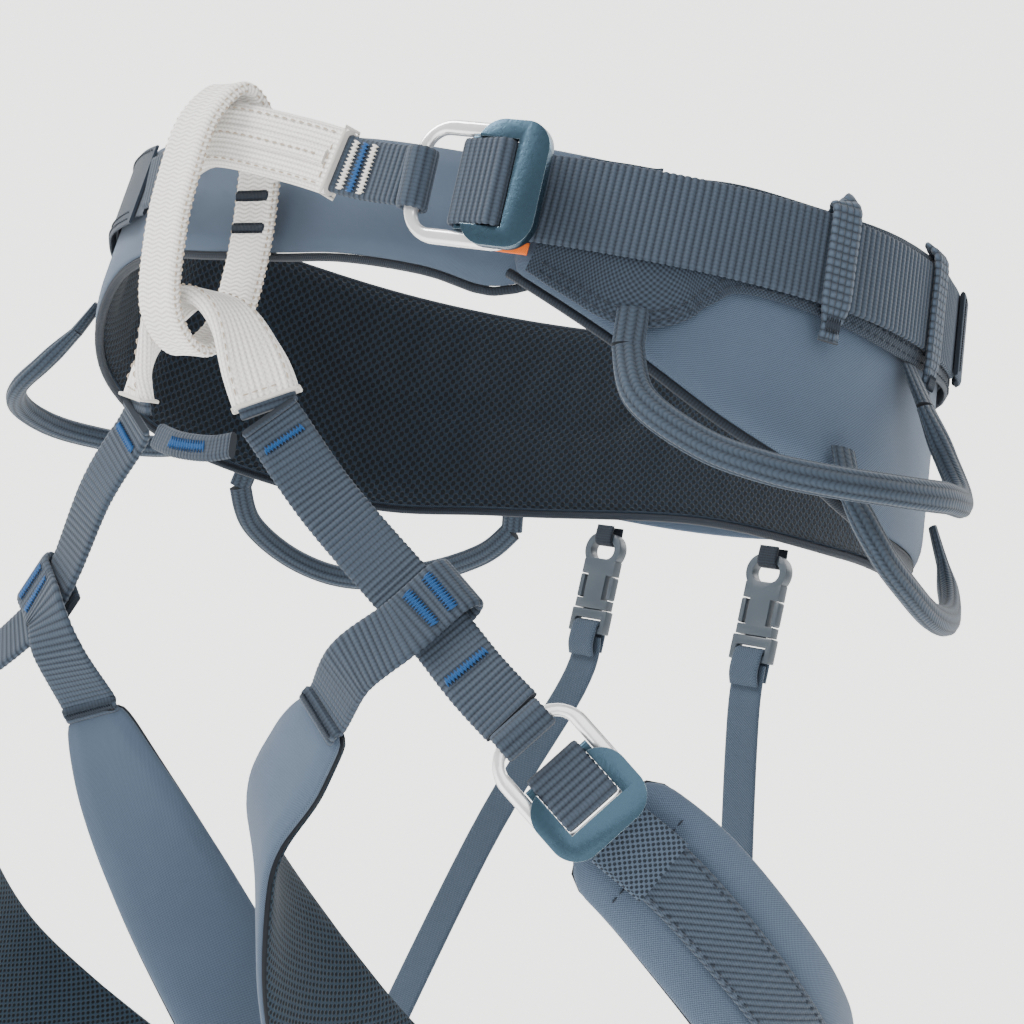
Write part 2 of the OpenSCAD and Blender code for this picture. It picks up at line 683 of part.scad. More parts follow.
elastic_top = socket_bottom - plug_height - 1.5;
module elastic(mid, low) {
  rows = smooth([
    [clip_x, clip_y, elastic_top, 0, 1, 0, elastic_width],
    [clip_x + 2, clip_y, elastic_top - 20, 0, 1, 0, elastic_width],
    [mid[0], mid[1], mid[2], 0, 1, 0.1, elastic_width], [low[0], low[1], low[2], 0.1, 1, 0.1, elastic_width]
  ], 4);
  color(slate) strap(rows, 1.6);
}

module mirror_x() {
  mirror([1, 0, 0]) children();
}

// ---- the nodes of the two legs ----

module left_riser() {
  leg_riser(left_riser_rows);
  color(slate) riser_end(left_buckle);
}
module left_leg_front_band() {
  leg_front_band(band_rows(left_band_start, left_riser_rows));
}
module left_leg_shell() {
  leg_shell(left_pad_rows);
}
module left_leg_liner() {
  leg_liner(left_pad_rows);
}
module left_leg_strap() {
  leg_strap(left_pad_rows);
}
module left_leg_knit_cover() {
  leg_knit_cover(left_pad_rows);
}
module left_leg_rear_cover() {
  leg_rear_cover(left_pad_rows);
}
module left_leg_buckle_frame() {
  place_leg_buckle(left_buckle) buckle_frame(leg_webbing_width);
}
module left_leg_buckle_plate() {
  place_leg_buckle(left_buckle) buckle_plate(leg_webbing_width);
}
module left_leg_buckle_wrap() {
  place_leg_buckle(left_buckle) buckle_wrap(leg_webbing_width);
}
module right_riser() {
  leg_riser(mirrored(right_riser_rows));
  color(slate) mirror_x() riser_end(right_buckle);
}
module right_leg_front_band() {
  leg_front_band(mirrored(band_rows(right_band_start, right_riser_rows)));
}
module right_leg_shell() {
  leg_shell(mirrored(right_pad_rows));
}
module right_leg_liner() {
  leg_liner(mirrored(right_pad_rows));
}
module right_leg_strap() {
  leg_strap(mirrored(right_pad_rows));
}
module right_leg_knit_cover() {
  leg_knit_cover(mirrored(right_pad_rows));
}
module right_leg_rear_cover() {
  leg_rear_cover(mirrored(right_pad_rows));
}
module right_leg_buckle_frame() {
  mirror_x() place_leg_buckle(right_buckle) buckle_frame(leg_webbing_width);
}
module right_leg_buckle_plate() {
  mirror_x() place_leg_buckle(right_buckle) buckle_plate(leg_webbing_width);
}
module right_leg_buckle_wrap() {
  mirror_x() place_leg_buckle(right_buckle) buckle_wrap(leg_webbing_width);
}
module left_elastic() {
  elastic([58, 123, -175], [84, 113.5, -250]);
}
module left_clip_tab() {
  clip_tab();
}
module left_clip_socket() {
  clip_socket();
}
module left_clip_plug() {
  clip_plug();
}
module left_clip_inner_latch() {
  clip_latch(-1);
}
module left_clip_outer_latch() {
  clip_latch(1);
}
module right_elastic() {
  mirror_x() elastic([64, 120, -190], [90, 104.5, -312]);
}
module right_clip_tab() {
  mirror_x() clip_tab();
}
module right_clip_socket() {
  mirror_x() clip_socket();
}
module right_clip_plug() {
  mirror_x() clip_plug();
}
module right_clip_inner_latch() {
  mirror_x() clip_latch(-1);
}
module right_clip_outer_latch() {
  mirror_x() clip_latch(1);
}

belt_shell();
belt_liner();
belt_binding();
channel_band();
waist_webbing();
rear_panel();
waist_strap_tail();
front_keeper();
side_keeper();
right_keeper();
size_tag();
waist_buckle_frame();
waist_buckle_plate();
waist_buckle_wrap();
tie_in_bar_loop();
upper_tie_in_webbing();
upper_tie_in_sleeve();
lower_tie_in_webbing();
lower_tie_in_sleeve();
crossbar_strap();
belay_loop();
left_front_gear_loop();
right_front_gear_loop();
left_rear_gear_loop();
right_rear_gear_loop();
haul_loop();
left_riser();
left_leg_front_band();
left_leg_shell();
left_leg_liner();
left_leg_strap();
left_leg_knit_cover();
left_leg_rear_cover();
left_leg_buckle_frame();
left_leg_buckle_plate();
left_leg_buckle_wrap();
left_elastic();
left_clip_tab();
left_clip_socket();
left_clip_plug();
left_clip_inner_latch();
left_clip_outer_latch();
right_riser();
right_leg_front_band();
right_leg_shell();
right_leg_liner();
right_leg_strap();
right_leg_knit_cover();
right_leg_rear_cover();
right_leg_buckle_frame();
right_leg_buckle_plate();
right_leg_buckle_wrap();
right_elastic();
right_clip_tab();
right_clip_socket();
right_clip_plug();
right_clip_inner_latch();
right_clip_outer_latch();
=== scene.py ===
"""Looks of the climbing harness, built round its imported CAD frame.

Control rows are the part's own, in millimetres; meshes are made in metres.
"""
import math

import bmesh
import bpy
import numpy as np
from mathutils import Matrix, Vector


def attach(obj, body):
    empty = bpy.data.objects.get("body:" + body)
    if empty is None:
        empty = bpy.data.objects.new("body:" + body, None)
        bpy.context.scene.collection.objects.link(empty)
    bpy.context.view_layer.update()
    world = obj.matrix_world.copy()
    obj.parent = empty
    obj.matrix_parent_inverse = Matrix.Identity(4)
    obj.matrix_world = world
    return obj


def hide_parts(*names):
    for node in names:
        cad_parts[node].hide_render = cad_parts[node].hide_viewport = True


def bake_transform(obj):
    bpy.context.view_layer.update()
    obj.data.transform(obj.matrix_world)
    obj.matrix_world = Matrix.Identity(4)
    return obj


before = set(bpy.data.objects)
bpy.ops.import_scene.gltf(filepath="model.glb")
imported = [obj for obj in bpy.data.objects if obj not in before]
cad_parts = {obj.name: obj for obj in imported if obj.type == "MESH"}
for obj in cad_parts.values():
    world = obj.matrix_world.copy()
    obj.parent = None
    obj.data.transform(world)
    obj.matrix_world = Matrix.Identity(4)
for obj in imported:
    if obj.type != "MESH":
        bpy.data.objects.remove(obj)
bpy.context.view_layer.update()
MM = 0.001

# ---- camera ----
# The view looks slightly up at the wearer's left front.
CAMERA_PLACE = (0.505, -0.460, -0.136)
CAMERA_AZIMUTH, CAMERA_ELEVATION, CAMERA_ROLL = (math.radians(a) for a in (45.5, -5.25, 12.5))


def make_camera():
    az, el, roll = CAMERA_AZIMUTH, CAMERA_ELEVATION, CAMERA_ROLL
    back = Vector((math.sin(az) * math.cos(el), -math.cos(az) * math.cos(el), math.sin(el)))
    right = Vector((math.cos(az), math.sin(az), 0))
    up = back.cross(right)
    turned_right = right * math.cos(roll) + up * math.sin(roll)
    turned_up = up * math.cos(roll) - right * math.sin(roll)
    data = bpy.data.cameras.new("camera")
    data.sensor_width = 36
    data.lens = 73.48
    data.clip_end = 50
    camera = bpy.data.objects.new("camera", data)
    axes = Matrix((turned_right, turned_up, back)).transposed().to_4x4()
    camera.matrix_world = Matrix.Translation(CAMERA_PLACE) @ axes
    bpy.context.scene.collection.objects.link(camera)
    bpy.context.scene.camera = camera


make_camera()

# ---- control rows, as in the part's source ----
HALF_WIDTH, REAR_DEPTH, FRONT_DEPTH = 164, 133, 100
FLARE = math.radians(6)

# Belt outline: angle from the front, top edge, bottom edge, shift outwards
BELT_OUTLINE = [
    (36, 17, -20, 0), (50, 15, -34, 0), (65, 14, -49, 0), (80, 14, -58, 0), (95, 17, -66, 0),
    (110, 18, -68, 0), (130, 16, -69, 0), (150, 15, -61, 0), (180, 15, -53, 0), (210, 15, -61, 0),
    (230, 16, -69, 0), (250, 18, -68, 0), (265, 19, -64, 0), (280, 21, -56, 0), (295, 24, -46, 0),
    (308, 25, -34, 0), (320, 25, -22, -1), (334, 24, -17, -4), (346, 24, -17, -10),
    (358, 23, -17, -14), (370, 21, -17, -13), (384, 17, -20, -10), (393, 15, -24, -9.5),
    (399, 12, -20, -9.5)]
BAND_OUTLINE = [
    (40, 14, -21, 0), (46, 14, -27, 0), (52, 14, -31, 0), (57, 14, -23, 0), (63, 14, -16, 0),
    (75, 13.5, -15.5, 0), (95, 15, -18, 0), (120, 15, -16, 0), (150, 14, -15, 0), (180, 14, -15, 0),
    (210, 14, -15, 0), (240, 15, -16, 0), (265, 16, -16, 0), (290, 19, -12, 0), (308, 22, -7, 0),
    (320, 22, -7, -0.7), (329, 21, -7, -1.2)]
WEBBING_MIDDLE = [(40, 0), (60, 0), (90, 0), (130, 0), (180, 0), (230, 0), (265, 1), (290, 4), (308, 8),
                  (320, 8), (332, 7)]
WAIST_WIDTH, TIE_IN_WIDTH, LEG_WIDTH = 25, 17, 18
UPPER_TIE_IN = [
    (65.4, -96.7, 1, 0.26, -0.96, 0, 17), (47, -98.5, 3, 0.2, -0.98, 0, 17),
    (22, -102, 8, 0.15, -0.99, 0, 17), (-8, -107.5, 12, 0, -1, 0, 17),
    (-26, -105, 9, -0.2, -0.97, 0, 17), (-40, -99.5, 5, -0.25, -0.95, 0, 17),
    (-62, -94, 3, -0.26, -0.96, 0, 17)]
LOWER_TIE_IN = [
    (25.5, -93.2, -67.5, 0.61, -0.79, 0.08, 17), (20, -97, -57, 0.7, -0.66, 0.25, 17),
    (11, -101.5, -44, 0.55, -0.4, 0.75, 14), (2, -104, -38.5, 0.15, -0.15, 1, 14),
    (-8, -104, -37.5, 0, -0.1, 1, 14), (-19, -104, -39.5, -0.2, -0.15, 0.95, 14),
    (-30.5, -101, -57.5, -0.5, -0.85, 0.15, 17), (-33, -98, -72, -0.1, -1, 0, 17)]
CROSSBAR = [(-20, -97.5, -79, 0, -1, 0.1, 8), (-8, -98, -81, 0, -1, 0.1, 8), (6, -97, -81, 0, -1, 0.1, 8),
            (15, -95.5, -79, 0, -1, 0.1, 8)]
BELAY = [
    (-8, -108, 26, 0, -0.2, 1, 18), (-8, -117.5, 14, 0, -0.95, 0.3, 18), (-8, -120, -6, 0, -1, 0, 18),
    (-8, -119.5, -24, 0, -1, 0, 18), (-8, -115, -44.5, 0, -0.8, -0.6, 18), (-8, -102.5, -53, 0, 0, -1, 18),
    (-8, -91, -42, 0, 0.95, -0.3, 18), (-8, -89, -24, 0, 1, 0, 18), (-8, -90.5, -4, 0, 1, 0, 18),
    (-8, -95, 16, 0, 0.95, 0.3, 18)]
GEAR_LOOPS = {
    "left_front_gear_loop": [(51.5, -37, 2), (53.5, -51, 8), (60, -60, 14), (66, -63, 20), (72, -63, 24),
                             (80, -61, 26), (89, -58, 25), (95.5, -55, 20), (98, -43, 11), (97, -30, 4.5)],
    "left_rear_gear_loop": [(84, -60, 2.5), (87, -70, 6), (93, -80, 8), (101, -86, 8), (110, -84, 7),
                            (117, -76, 5), (121, -66, 2.5)],
    "right_front_gear_loop": [(-60, -37, 3), (-60, -51, 12), (-62, -60, 20), (-68, -65, 25), (-77, -68, 25),
                              (-86, -68, 23), (-95, -66, 18), (-101, -60, 12), (-104, -48, 6),
                              (-104, -30, 3)],
    "right_rear_gear_loop": [(-109, -73, 3), (-113, -86, 10), (-121, -96, 17), (-129, -98, 19),
                             (-138, -90, 16), (-146, -78, 9), (-150, -67, 3)]}
HAUL_LOOP = [(171, 2, 3), (171.5, -9, 8), (175, -18, 12), (180, -21, 13), (185, -18, 12), (188.5, -9, 8),
             (189, 2, 3)]
RISERS = {
    "left": [(28.6, -91.2, -72.5, 0.61, -0.79, 0.08, 18), (46.5, -80.5, -91, 0.61, -0.79, 0.08, 18),
             (81.5, -68, -116, 0.58, -0.81, 0.08, 18), (102, -64, -130, 0.62, -0.78, 0.05, 18),
             (116.4, -61.7, -138.2, 0.68, -0.73, 0, 18)],
    "right": [(33, -97.5, -77.5, 0, -1, 0, 18), (46, -97, -98, 0, -1, 0, 18),
              (62, -94, -134, 0.1, -1, 0.1, 18), (85, -98, -159, 0.4, -0.9, 0.05, 18),
              (105.4, -99.7, -176.2, 0.68, -0.73, 0, 18)]}
BAND_STARTS = {
    "left": [(53.2, -70.5, -147.1, 0.35, -0.93, 0.1, 18), (66, -77, -134.5, 0.45, -0.88, 0.1, 18)],
    "right": [(53.4, -76.7, -162.8, -0.45, -0.88, 0.1, 18), (51.5, -93.5, -149, -0.3, -0.95, 0.1, 18)]}
PADS = {
    "left": [
        (51.5, -69, -149, 0.3, -0.95, 0.1, 20), (39, -66.5, -164, 0.1, -1, 0.1, 29),
        (24, -60, -192, -0.4, -0.9, 0.1, 38), (21, -20, -241, -0.95, -0.3, 0, 48),
        (19, 34, -276, -1, 0.1, 0, 54), (42, 88, -290, -0.6, 0.8, 0, 56),
        (92, 108, -274, 0.15, 0.98, 0.1, 56), (148, 78, -240, 0.75, 0.65, 0.1, 53),
        (159, 30, -207, 0.95, -0.3, 0.05, 44), (148, -14, -175, 0.8, -0.6, 0, 41),
        (131, -36, -159.5, 0.68, -0.73, 0, 36)],
    "right": [
        (53.4, -74.5, -165.4, -0.45, -0.88, 0.1, 20), (47, -60, -188, -0.65, -0.75, 0.1, 30),
        (38, -36, -218, -0.85, -0.5, 0.05, 38), (28, 4, -262, -0.98, -0.15, 0, 44),
        (26, 44, -302, -0.98, 0.2, 0, 50), (48, 84, -328, -0.6, 0.8, 0, 54),
        (98, 98, -332, 0.1, 0.98, 0.1, 54), (156, 62, -316, 0.75, 0.65, 0.1, 52),
        (177, -2, -276, 0.97, -0.2, 0.05, 46), (156, -50, -231, 0.8, -0.6, 0, 42),
        (123, -71, -199, 0.66, -0.75, 0, 36)]}
ELASTIC_ENDS = {"left": ((58, 123, -175), (84, 113.5, -250)), "right": ((64, 120, -190), (90, 104.5, -312))}
BUCKLES = {"left": (126.5, -48.9, -150), "right": (115.5, -86.9, -188)}
WAIST_BUCKLE_ANGLE = 31
SHELL_THICKNESS, LINER_THICKNESS, WEBBING_THICKNESS = 4.5, 3, 1.8
STRAP_LIFT = SHELL_THICKNESS / 2 + 0.8 + WEBBING_THICKNESS / 2
COVER_LIFT = STRAP_LIFT + WEBBING_THICKNESS / 2 + 1
PIN_PLACE, WRAP_FAR, RING_BAR, RING_DEPTH = (-1.5, -2.3), (9.5, -6), 4.2, 3.4
BAR_LOOP_RADIUS = math.hypot(RING_BAR, RING_DEPTH) / 2 + 0.1 + WEBBING_THICKNESS / 2


# ---- paths and meshes ----
def unit(v):
    v = np.asarray(v, float)
    return v / np.linalg.norm(v, axis=-1, keepdims=True)


def smooth(rows, steps, closed=False):
    """Catmull-Rom rows through the given rows."""
    rows = np.array(rows, float)
    n = len(rows)
    made = []
    for i in range(n if closed else n - 1):
        near = [(i + k) % n if closed else min(max(i + k, 0), n - 1) for k in (-1, 0, 1, 2)]
        a, b, c, d = rows[near]
        for t in np.arange(steps) / steps:
            made.append(0.5 * (2 * b + (c - a) * t + (2 * a - 5 * b + 4 * c - d) * t ** 2
                               + (3 * b - a - 3 * c + d) * t ** 3))
    if not closed:
        made.append(rows[-1])
    return np.array(made)


def ring_point(angle, height, out):
    a = np.radians(np.asarray(angle, float))
    height = np.asarray(height, float) + 0 * a
    o = out - height * math.tan(FLARE)
    depth = np.where(np.cos(a) > 0, FRONT_DEPTH, REAR_DEPTH)
    return np.stack([np.sin(a) * (HALF_WIDTH + o), -np.cos(a) * (depth + o), height], -1)


def ring_normal(angle, lean=FLARE):
    a = np.radians(np.asarray(angle, float))
    depth = np.where(np.cos(a) > 0, FRONT_DEPTH, REAR_DEPTH)
    n = unit(np.stack([np.sin(a) / HALF_WIDTH, -np.cos(a) / depth, 0 * a], -1)) * math.cos(lean)
    n[..., 2] = math.sin(lean)
    return n


def ring_rows(outline, out, steps=6):
    """Path rows on the waist ring for an outline of angle, top, bottom and shift."""
    o = smooth(outline, steps)
    middle = (o[:, 1] + o[:, 2]) / 2
    width = (o[:, 1] - o[:, 2]) / math.cos(FLARE)
    return np.column_stack([ring_point(o[:, 0], middle, out + o[:, 3]), ring_normal(o[:, 0]), width])


def mirrored(rows):
    return np.array(rows, float) * (-1, 1, 1, -1, 1, 1, 1)


def sided(rows, side):
    return mirrored(rows) if side == "right" else np.array(rows, float)


class Path:
    """Rows of x, y, z, outward direction and width, evenly spaced, with the frame at each."""

    def __init__(self, rows, spacing, closed=False):
        rows = np.array(rows, float)
        if closed:
            rows = np.vstack([rows, rows[:1]])
        steps = np.linalg.norm(np.diff(rows[:, :3], axis=0), axis=1)
        along = np.concatenate([[0], np.cumsum(steps)])
        self.length = along[-1]
        count = max(2, round(self.length / spacing))
        self.v = np.linspace(0, self.length, count + 1)
        self.closed = closed
        even = np.column_stack([np.interp(self.v, along, c) for c in rows.T])
        self.points = even[:, :3]
        self.width = even[:, 6]
        if closed:
            around = np.vstack([self.points[-2], self.points, self.points[1]])
            self.tangent = unit(around[2:] - around[:-2])
        else:
            self.tangent = unit(np.gradient(self.points, axis=0))
        n = even[:, 3:6]
        self.normal = unit(n - self.tangent * (n * self.tangent).sum(1, keepdims=True))
        self.across = np.cross(self.tangent, self.normal)

    def frame(self, v):
        return [unit(np.column_stack([np.interp(v, self.v, c) for c in part.T]))
                for part in (self.tangent, self.across, self.normal)]

    def at(self, v, u=0.0, out=0.0):
        v = np.atleast_1d(np.asarray(v, float))
        u, out = (np.broadcast_to(x, v.shape)[:, None] for x in (u, out))
        _, across, normal = self.frame(v)
        middle = np.column_stack([np.interp(v, self.v, c) for c in self.points.T])
        return middle + across * u + normal * out

    def rings(self, across, out):
        """Rings of points, each given by its distances across the path and outwards."""
        return (self.points[:, None] + self.across[:, None] * across[..., None]
                + self.normal[:, None] * out[..., None])


def smooth_shading(mesh, angle=38):
    """Smooth faces, with sharp edges where they turn by more than the angle."""
    bm = bmesh.new()
    bm.from_mesh(mesh)
    bmesh.ops.recalc_face_normals(bm, faces=bm.faces)
    limit = math.radians(angle)
    for e in bm.edges:
        e.smooth = len(e.link_faces) == 2 and e.calc_face_angle(0) < limit
    for f in bm.faces:
        f.smooth = True
    bm.to_mesh(mesh)
    bm.free()


def add_object(name, mesh, material, body, node=None):
    mesh.materials.append(material)
    obj = bpy.data.objects.new(name, mesh)
    bpy.context.scene.collection.objects.link(obj)
    if body:
        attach(obj, body)
    if node:
        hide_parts(*([node] if isinstance(node, str) else node))
    return obj


def skin_mesh(name, rings, u, v, loop=False):
    """A closed skin over rings of points; u and v are the weave's coordinates, in millimetres."""
    n, k = rings.shape[:2]
    i, j = np.meshgrid(np.arange(n if loop else n - 1), np.arange(k), indexing="ij")
    i, j = i.ravel(), j.ravel()
    i2, j2 = (i + 1) % n, (j + 1) % k
    quads = np.stack([i * k + j, i2 * k + j, i2 * k + j2, i * k + j2], -1)
    uv = np.stack([np.stack([u[j], v[i]], -1), np.stack([u[j], v[i + 1]], -1),
                   np.stack([u[j + 1], v[i + 1]], -1), np.stack([u[j + 1], v[i]], -1)], 1).reshape(-1, 2)
    faces = quads.tolist()
    if not loop:
        faces += [list(range(k)), list(range((n - 1) * k, n * k))[::-1]]
        uv = np.vstack([uv, np.zeros((2 * k, 2))])
    mesh = bpy.data.meshes.new(name)
    mesh.from_pydata((rings.reshape(-1, 3) * MM).tolist(), [], faces)
    layer = mesh.uv_layers.new(name="weave")
    layer.data.foreach_set("uv", uv.astype(np.float32).ravel())
    return mesh


def band_outline(points=10, corner=3):
    """A flat band's rounded section: share of the flat width, then the corner's circle."""
    flat = np.linspace(-1, 1, points)
    turn = np.radians(np.linspace(90, -90, corner + 2)[1:-1])
    ones, arc = np.ones(points), np.ones(corner)
    share = np.concatenate([flat, arc, flat[::-1], -arc])
    side = np.concatenate([0 * flat, np.cos(turn), 0 * flat, -np.cos(turn)])
    lift = np.concatenate([ones, np.sin(turn), -ones, -np.sin(turn)])
    return share, side, lift


def band(name, path, thickness, material, body, node=None, rib=None, lift=0, points=10,
         grooves=None, crown=0.0, width=None):
    """Webbing along a path. rib is (pitch, height) crosswise; grooves is the same lengthwise."""
    share, side, up = band_outline(points)
    closed_rows = slice(0, -1) if path.closed else slice(None)
    v = path.v
    w = path.width if width is None else np.full(len(v), float(width))
    half, r = w[:, None] / 2, thickness / 2
    across = share * (half - r) + side * r
    out = lift + up * r + 0 * across
    flat = np.abs(side) < 1e-9
    out = out + np.where(flat, np.sign(up) * crown * (1 - share ** 2), 0)
    if rib:
        height = rib[1] * np.abs(np.sin(np.pi * v / rib[0]))[:, None]
        out = out + np.where(flat, np.sign(up), 0.6 * up) * (height - rib[1])
        across = across + side * height
    if grooves:
        height = grooves[1] * (np.abs(np.sin(np.pi * across / grooves[0])) - 1)
        out = out + np.where(flat, np.sign(up), 0) * height
    rings = path.rings(across, out)[closed_rows]
    middle = len(v) // 2
    section = np.column_stack([across[middle], out[middle]])
    steps = np.linalg.norm(np.roll(section, -1, axis=0) - section, axis=1)
    u = np.concatenate([[0], np.cumsum(steps)])
    mesh = skin_mesh(name, rings, u, v, path.closed)
    smooth_shading(mesh, 50)
    return add_object(name, mesh, material, body, node)


RIB_PITCH = 1.9


def ribbed(name, path, thickness, body, node=None, height=0.3, points=12):
    """Webbing with crosswise ribs, as most of the harness's straps have."""
    return band(name, path, thickness, M["webbing"], body, node, rib=(RIB_PITCH, height),
                points=points)


def tube_rings(points, radius, sides=6):
    """Rings of a thin round thread along points."""
    tangent = unit(np.gradient(points, axis=0))
    rough = np.cross(tangent, (0.31, 0.22, 0.92))
    one = unit(rough)
    two = np.cross(tangent, one)
    turn = np.arange(sides) * 2 * np.pi / sides
    return (points[:, None] + one[:, None] * (np.cos(turn) * radius)[None, :, None]
            + two[:, None] * (np.sin(turn) * radius)[None, :, None])


def merged_tubes(name, lines, radius, body, material=None):
    """One mesh of many thin threads, each a list of points with pointed ends."""
    verts, faces, count = [], [], 0
    for line in lines:
        line = np.asarray(line, float)
        rings = tube_rings(line, radius)
        rings[0] = line[0] + (rings[0] - line[0]) * 0.3
        rings[-1] = line[-1] + (rings[-1] - line[-1]) * 0.3
        n, k = rings.shape[:2]
        verts.append(rings.reshape(-1, 3))
        for i in range(n - 1):
            for j in range(k):
                faces.append([count + i * k + j, count + (i + 1) * k + j,
                              count + (i + 1) * k + (j + 1) % k, count + i * k + (j + 1) % k])
        faces.append([count + j for j in range(k)])
        faces.append([count + (n - 1) * k + j for j in range(k)][::-1])
        count += n * k
    mesh = bpy.data.meshes.new(name)
    mesh.from_pydata((np.vstack(verts) * MM).tolist(), [], faces)
    smooth_shading(mesh, 80)
    return add_object(name, mesh, material or M["thread"], body, None)


def dashes(points, gap=3.2, length=2.1, dip=0.25, normals=None):
    """Stitches along a line: short bowed threads that dip into the cloth at both ends."""
    points = np.asarray(points, float)
    along = np.concatenate([[0], np.cumsum(np.linalg.norm(np.diff(points, axis=0), axis=1))])
    made = []
    for start in np.arange(gap / 2, along[-1] - length, gap):
        at = start + np.linspace(0, 1, 4) * length
        line = np.column_stack([np.interp(at, along, c) for c in points.T])
        if normals is not None:
            n = np.column_stack([np.interp(at, along, c) for c in np.asarray(normals).T])
            line = line + n * (dip * np.array([-1, 0.4, 0.4, -1]))[:, None]
        made.append(line)
    return made


def path_dashes(path, u, out, start=0.0, end=None, **how):
    v = np.arange(start, path.length if end is None else end, 1.0)
    return dashes(path.at(v, u, out), normals=path.frame(v)[2], **how)


def cross_dashes(path, v, reach, out, step=1.0, **how):
    u = np.arange(-reach, reach, step)
    return dashes(path.at(np.full(len(u), v), u, out), **how)


def zigzag(path, v0, v1, u0, u1, out, turns):
    """A bartack between two places along and across a path; threads run across the longer way."""
    count = turns * 2 + 1
    if abs(v1 - v0) > abs(u1 - u0):
        v = np.linspace(v0, v1, count)
        u = np.where(np.arange(count) % 2, u0, u1)
    else:
        u = np.linspace(u0, u1, count)
        v = np.where(np.arange(count) % 2, v0, v1)
    fine = np.linspace(0, count - 1, (count - 1) * 3 + 1)
    u = np.interp(fine, np.arange(count), u)
    v = np.interp(fine, np.arange(count), v)
    return path.at(v, u, out)


# ---- materials ----
def srgb(r, g, b):
    return tuple(((c / 255 + 0.055) / 1.055) ** 2.4 if c > 10 else c / 255 / 12.92 for c in (r, g, b)) + (1,)


class Signal:
    """A number in a node tree, with arithmetic."""

    def __init__(self, tree, socket):
        self.tree, self.socket = tree, socket

    def do(self, kind, other=None, third=None):
        node = self.tree.nodes.new("ShaderNodeMath")
        node.operation = kind
        self.tree.links.new(self.socket, node.inputs[0])
        for k, value in ((1, other), (2, third)):
            if isinstance(value, Signal):
                self.tree.links.new(value.socket, node.inputs[k])
            elif value is not None:
                node.inputs[k].default_value = value
        return Signal(self.tree, node.outputs[0])

    def __add__(self, other):
        return self.do("ADD", other)

    def __sub__(self, other):
        return self.do("SUBTRACT", other)

    def __mul__(self, other):
        return self.do("MULTIPLY", other)

    def sin(self):
        return self.do("SINE")

    def abs(self):
        return self.do("ABSOLUTE")

    def power(self, k):
        return self.do("POWER", k)


def wave(x, pitch):
    """0 to 1 and back once in each pitch."""
    return (x * (math.pi / pitch)).sin().abs()


def ribs(u, v, pitch=2.0):
    threads = wave(u + wave(v, pitch) * 0.3, 1.1)
    return wave(v, pitch) * 0.75 + threads * 0.25


def plain(u, v, pitch=0.9):
    return (u * (2 * math.pi / pitch)).sin() * (v * (2 * math.pi / pitch)).sin() * 0.5 + 0.5


def twill(u, v, pitch=1.8):
    return wave(u + v * 0.8, pitch) * 0.7 + wave(u - v * 0.25, 0.8) * 0.3


def chain(u, v, pitch=1.5):
    """Lengthwise knitted chains of V-shaped stitches."""
    across = wave(u, pitch)
    return across * 0.65 + wave(v + across * 0.9, 1.5) * 0.35


def checks(u, v, pitch=2.2):
    return (wave(u, pitch) * wave(v, pitch)).power(0.5)


def waves(u, v, pitch=1.3):
    """Fine crosswise weave that wavers a little."""
    return wave(v + (u * 1.1).sin() * 0.35, pitch) * 0.8 + wave(u, 1.0) * 0.2


def mesh_dots(u, v, pitch=3.6, size=0.36):
    """Offset rows of small round holes: 0 in a hole and 1 between them."""
    rows = v * (1 / (pitch * 0.5))
    row = rows.do("FLOOR")
    shift = row.do("MODULO", 2.0) * 0.5
    x = ((u * (1 / pitch)) + shift).do("FRACT") - 0.5
    y = (rows - row - 0.5) * 0.5
    far = (x * x + y * y).power(0.5)
    return far.do("SUBTRACT", size - 0.12).do("MULTIPLY", 8.0).do("MINIMUM", 1.0).do("MAXIMUM", 0.0)


def new_material(name):
    material = bpy.data.materials.new(name)
    material.use_nodes = True
    tree = material.node_tree
    return material, tree, tree.nodes["Principled BSDF"]


def noise_signal(tree, vector, scale, detail=3.0):
    node = tree.nodes.new("ShaderNodeTexNoise")
    node.inputs["Scale"].default_value = scale
    node.inputs["Detail"].default_value = detail
    tree.links.new(vector, node.inputs["Vector"])
    return Signal(tree, node.outputs["Fac"])


def mix_colour(tree, share, low, high):
    node = tree.nodes.new("ShaderNodeMix")
    node.data_type = "RGBA"
    tree.links.new(share.socket, node.inputs["Factor"])
    for socket, colour in ((node.inputs[6], low), (node.inputs[7], high)):
        socket.default_value = colour
    return node.outputs[2]


def add_bump(tree, shader, height, depth):
    node = tree.nodes.new("ShaderNodeBump")
    node.inputs["Distance"].default_value = depth * MM
    node.inputs["Strength"].default_value = 1.0
    tree.links.new(height.socket, node.inputs["Height"])
    tree.links.new(node.outputs["Normal"], shader.inputs["Normal"])


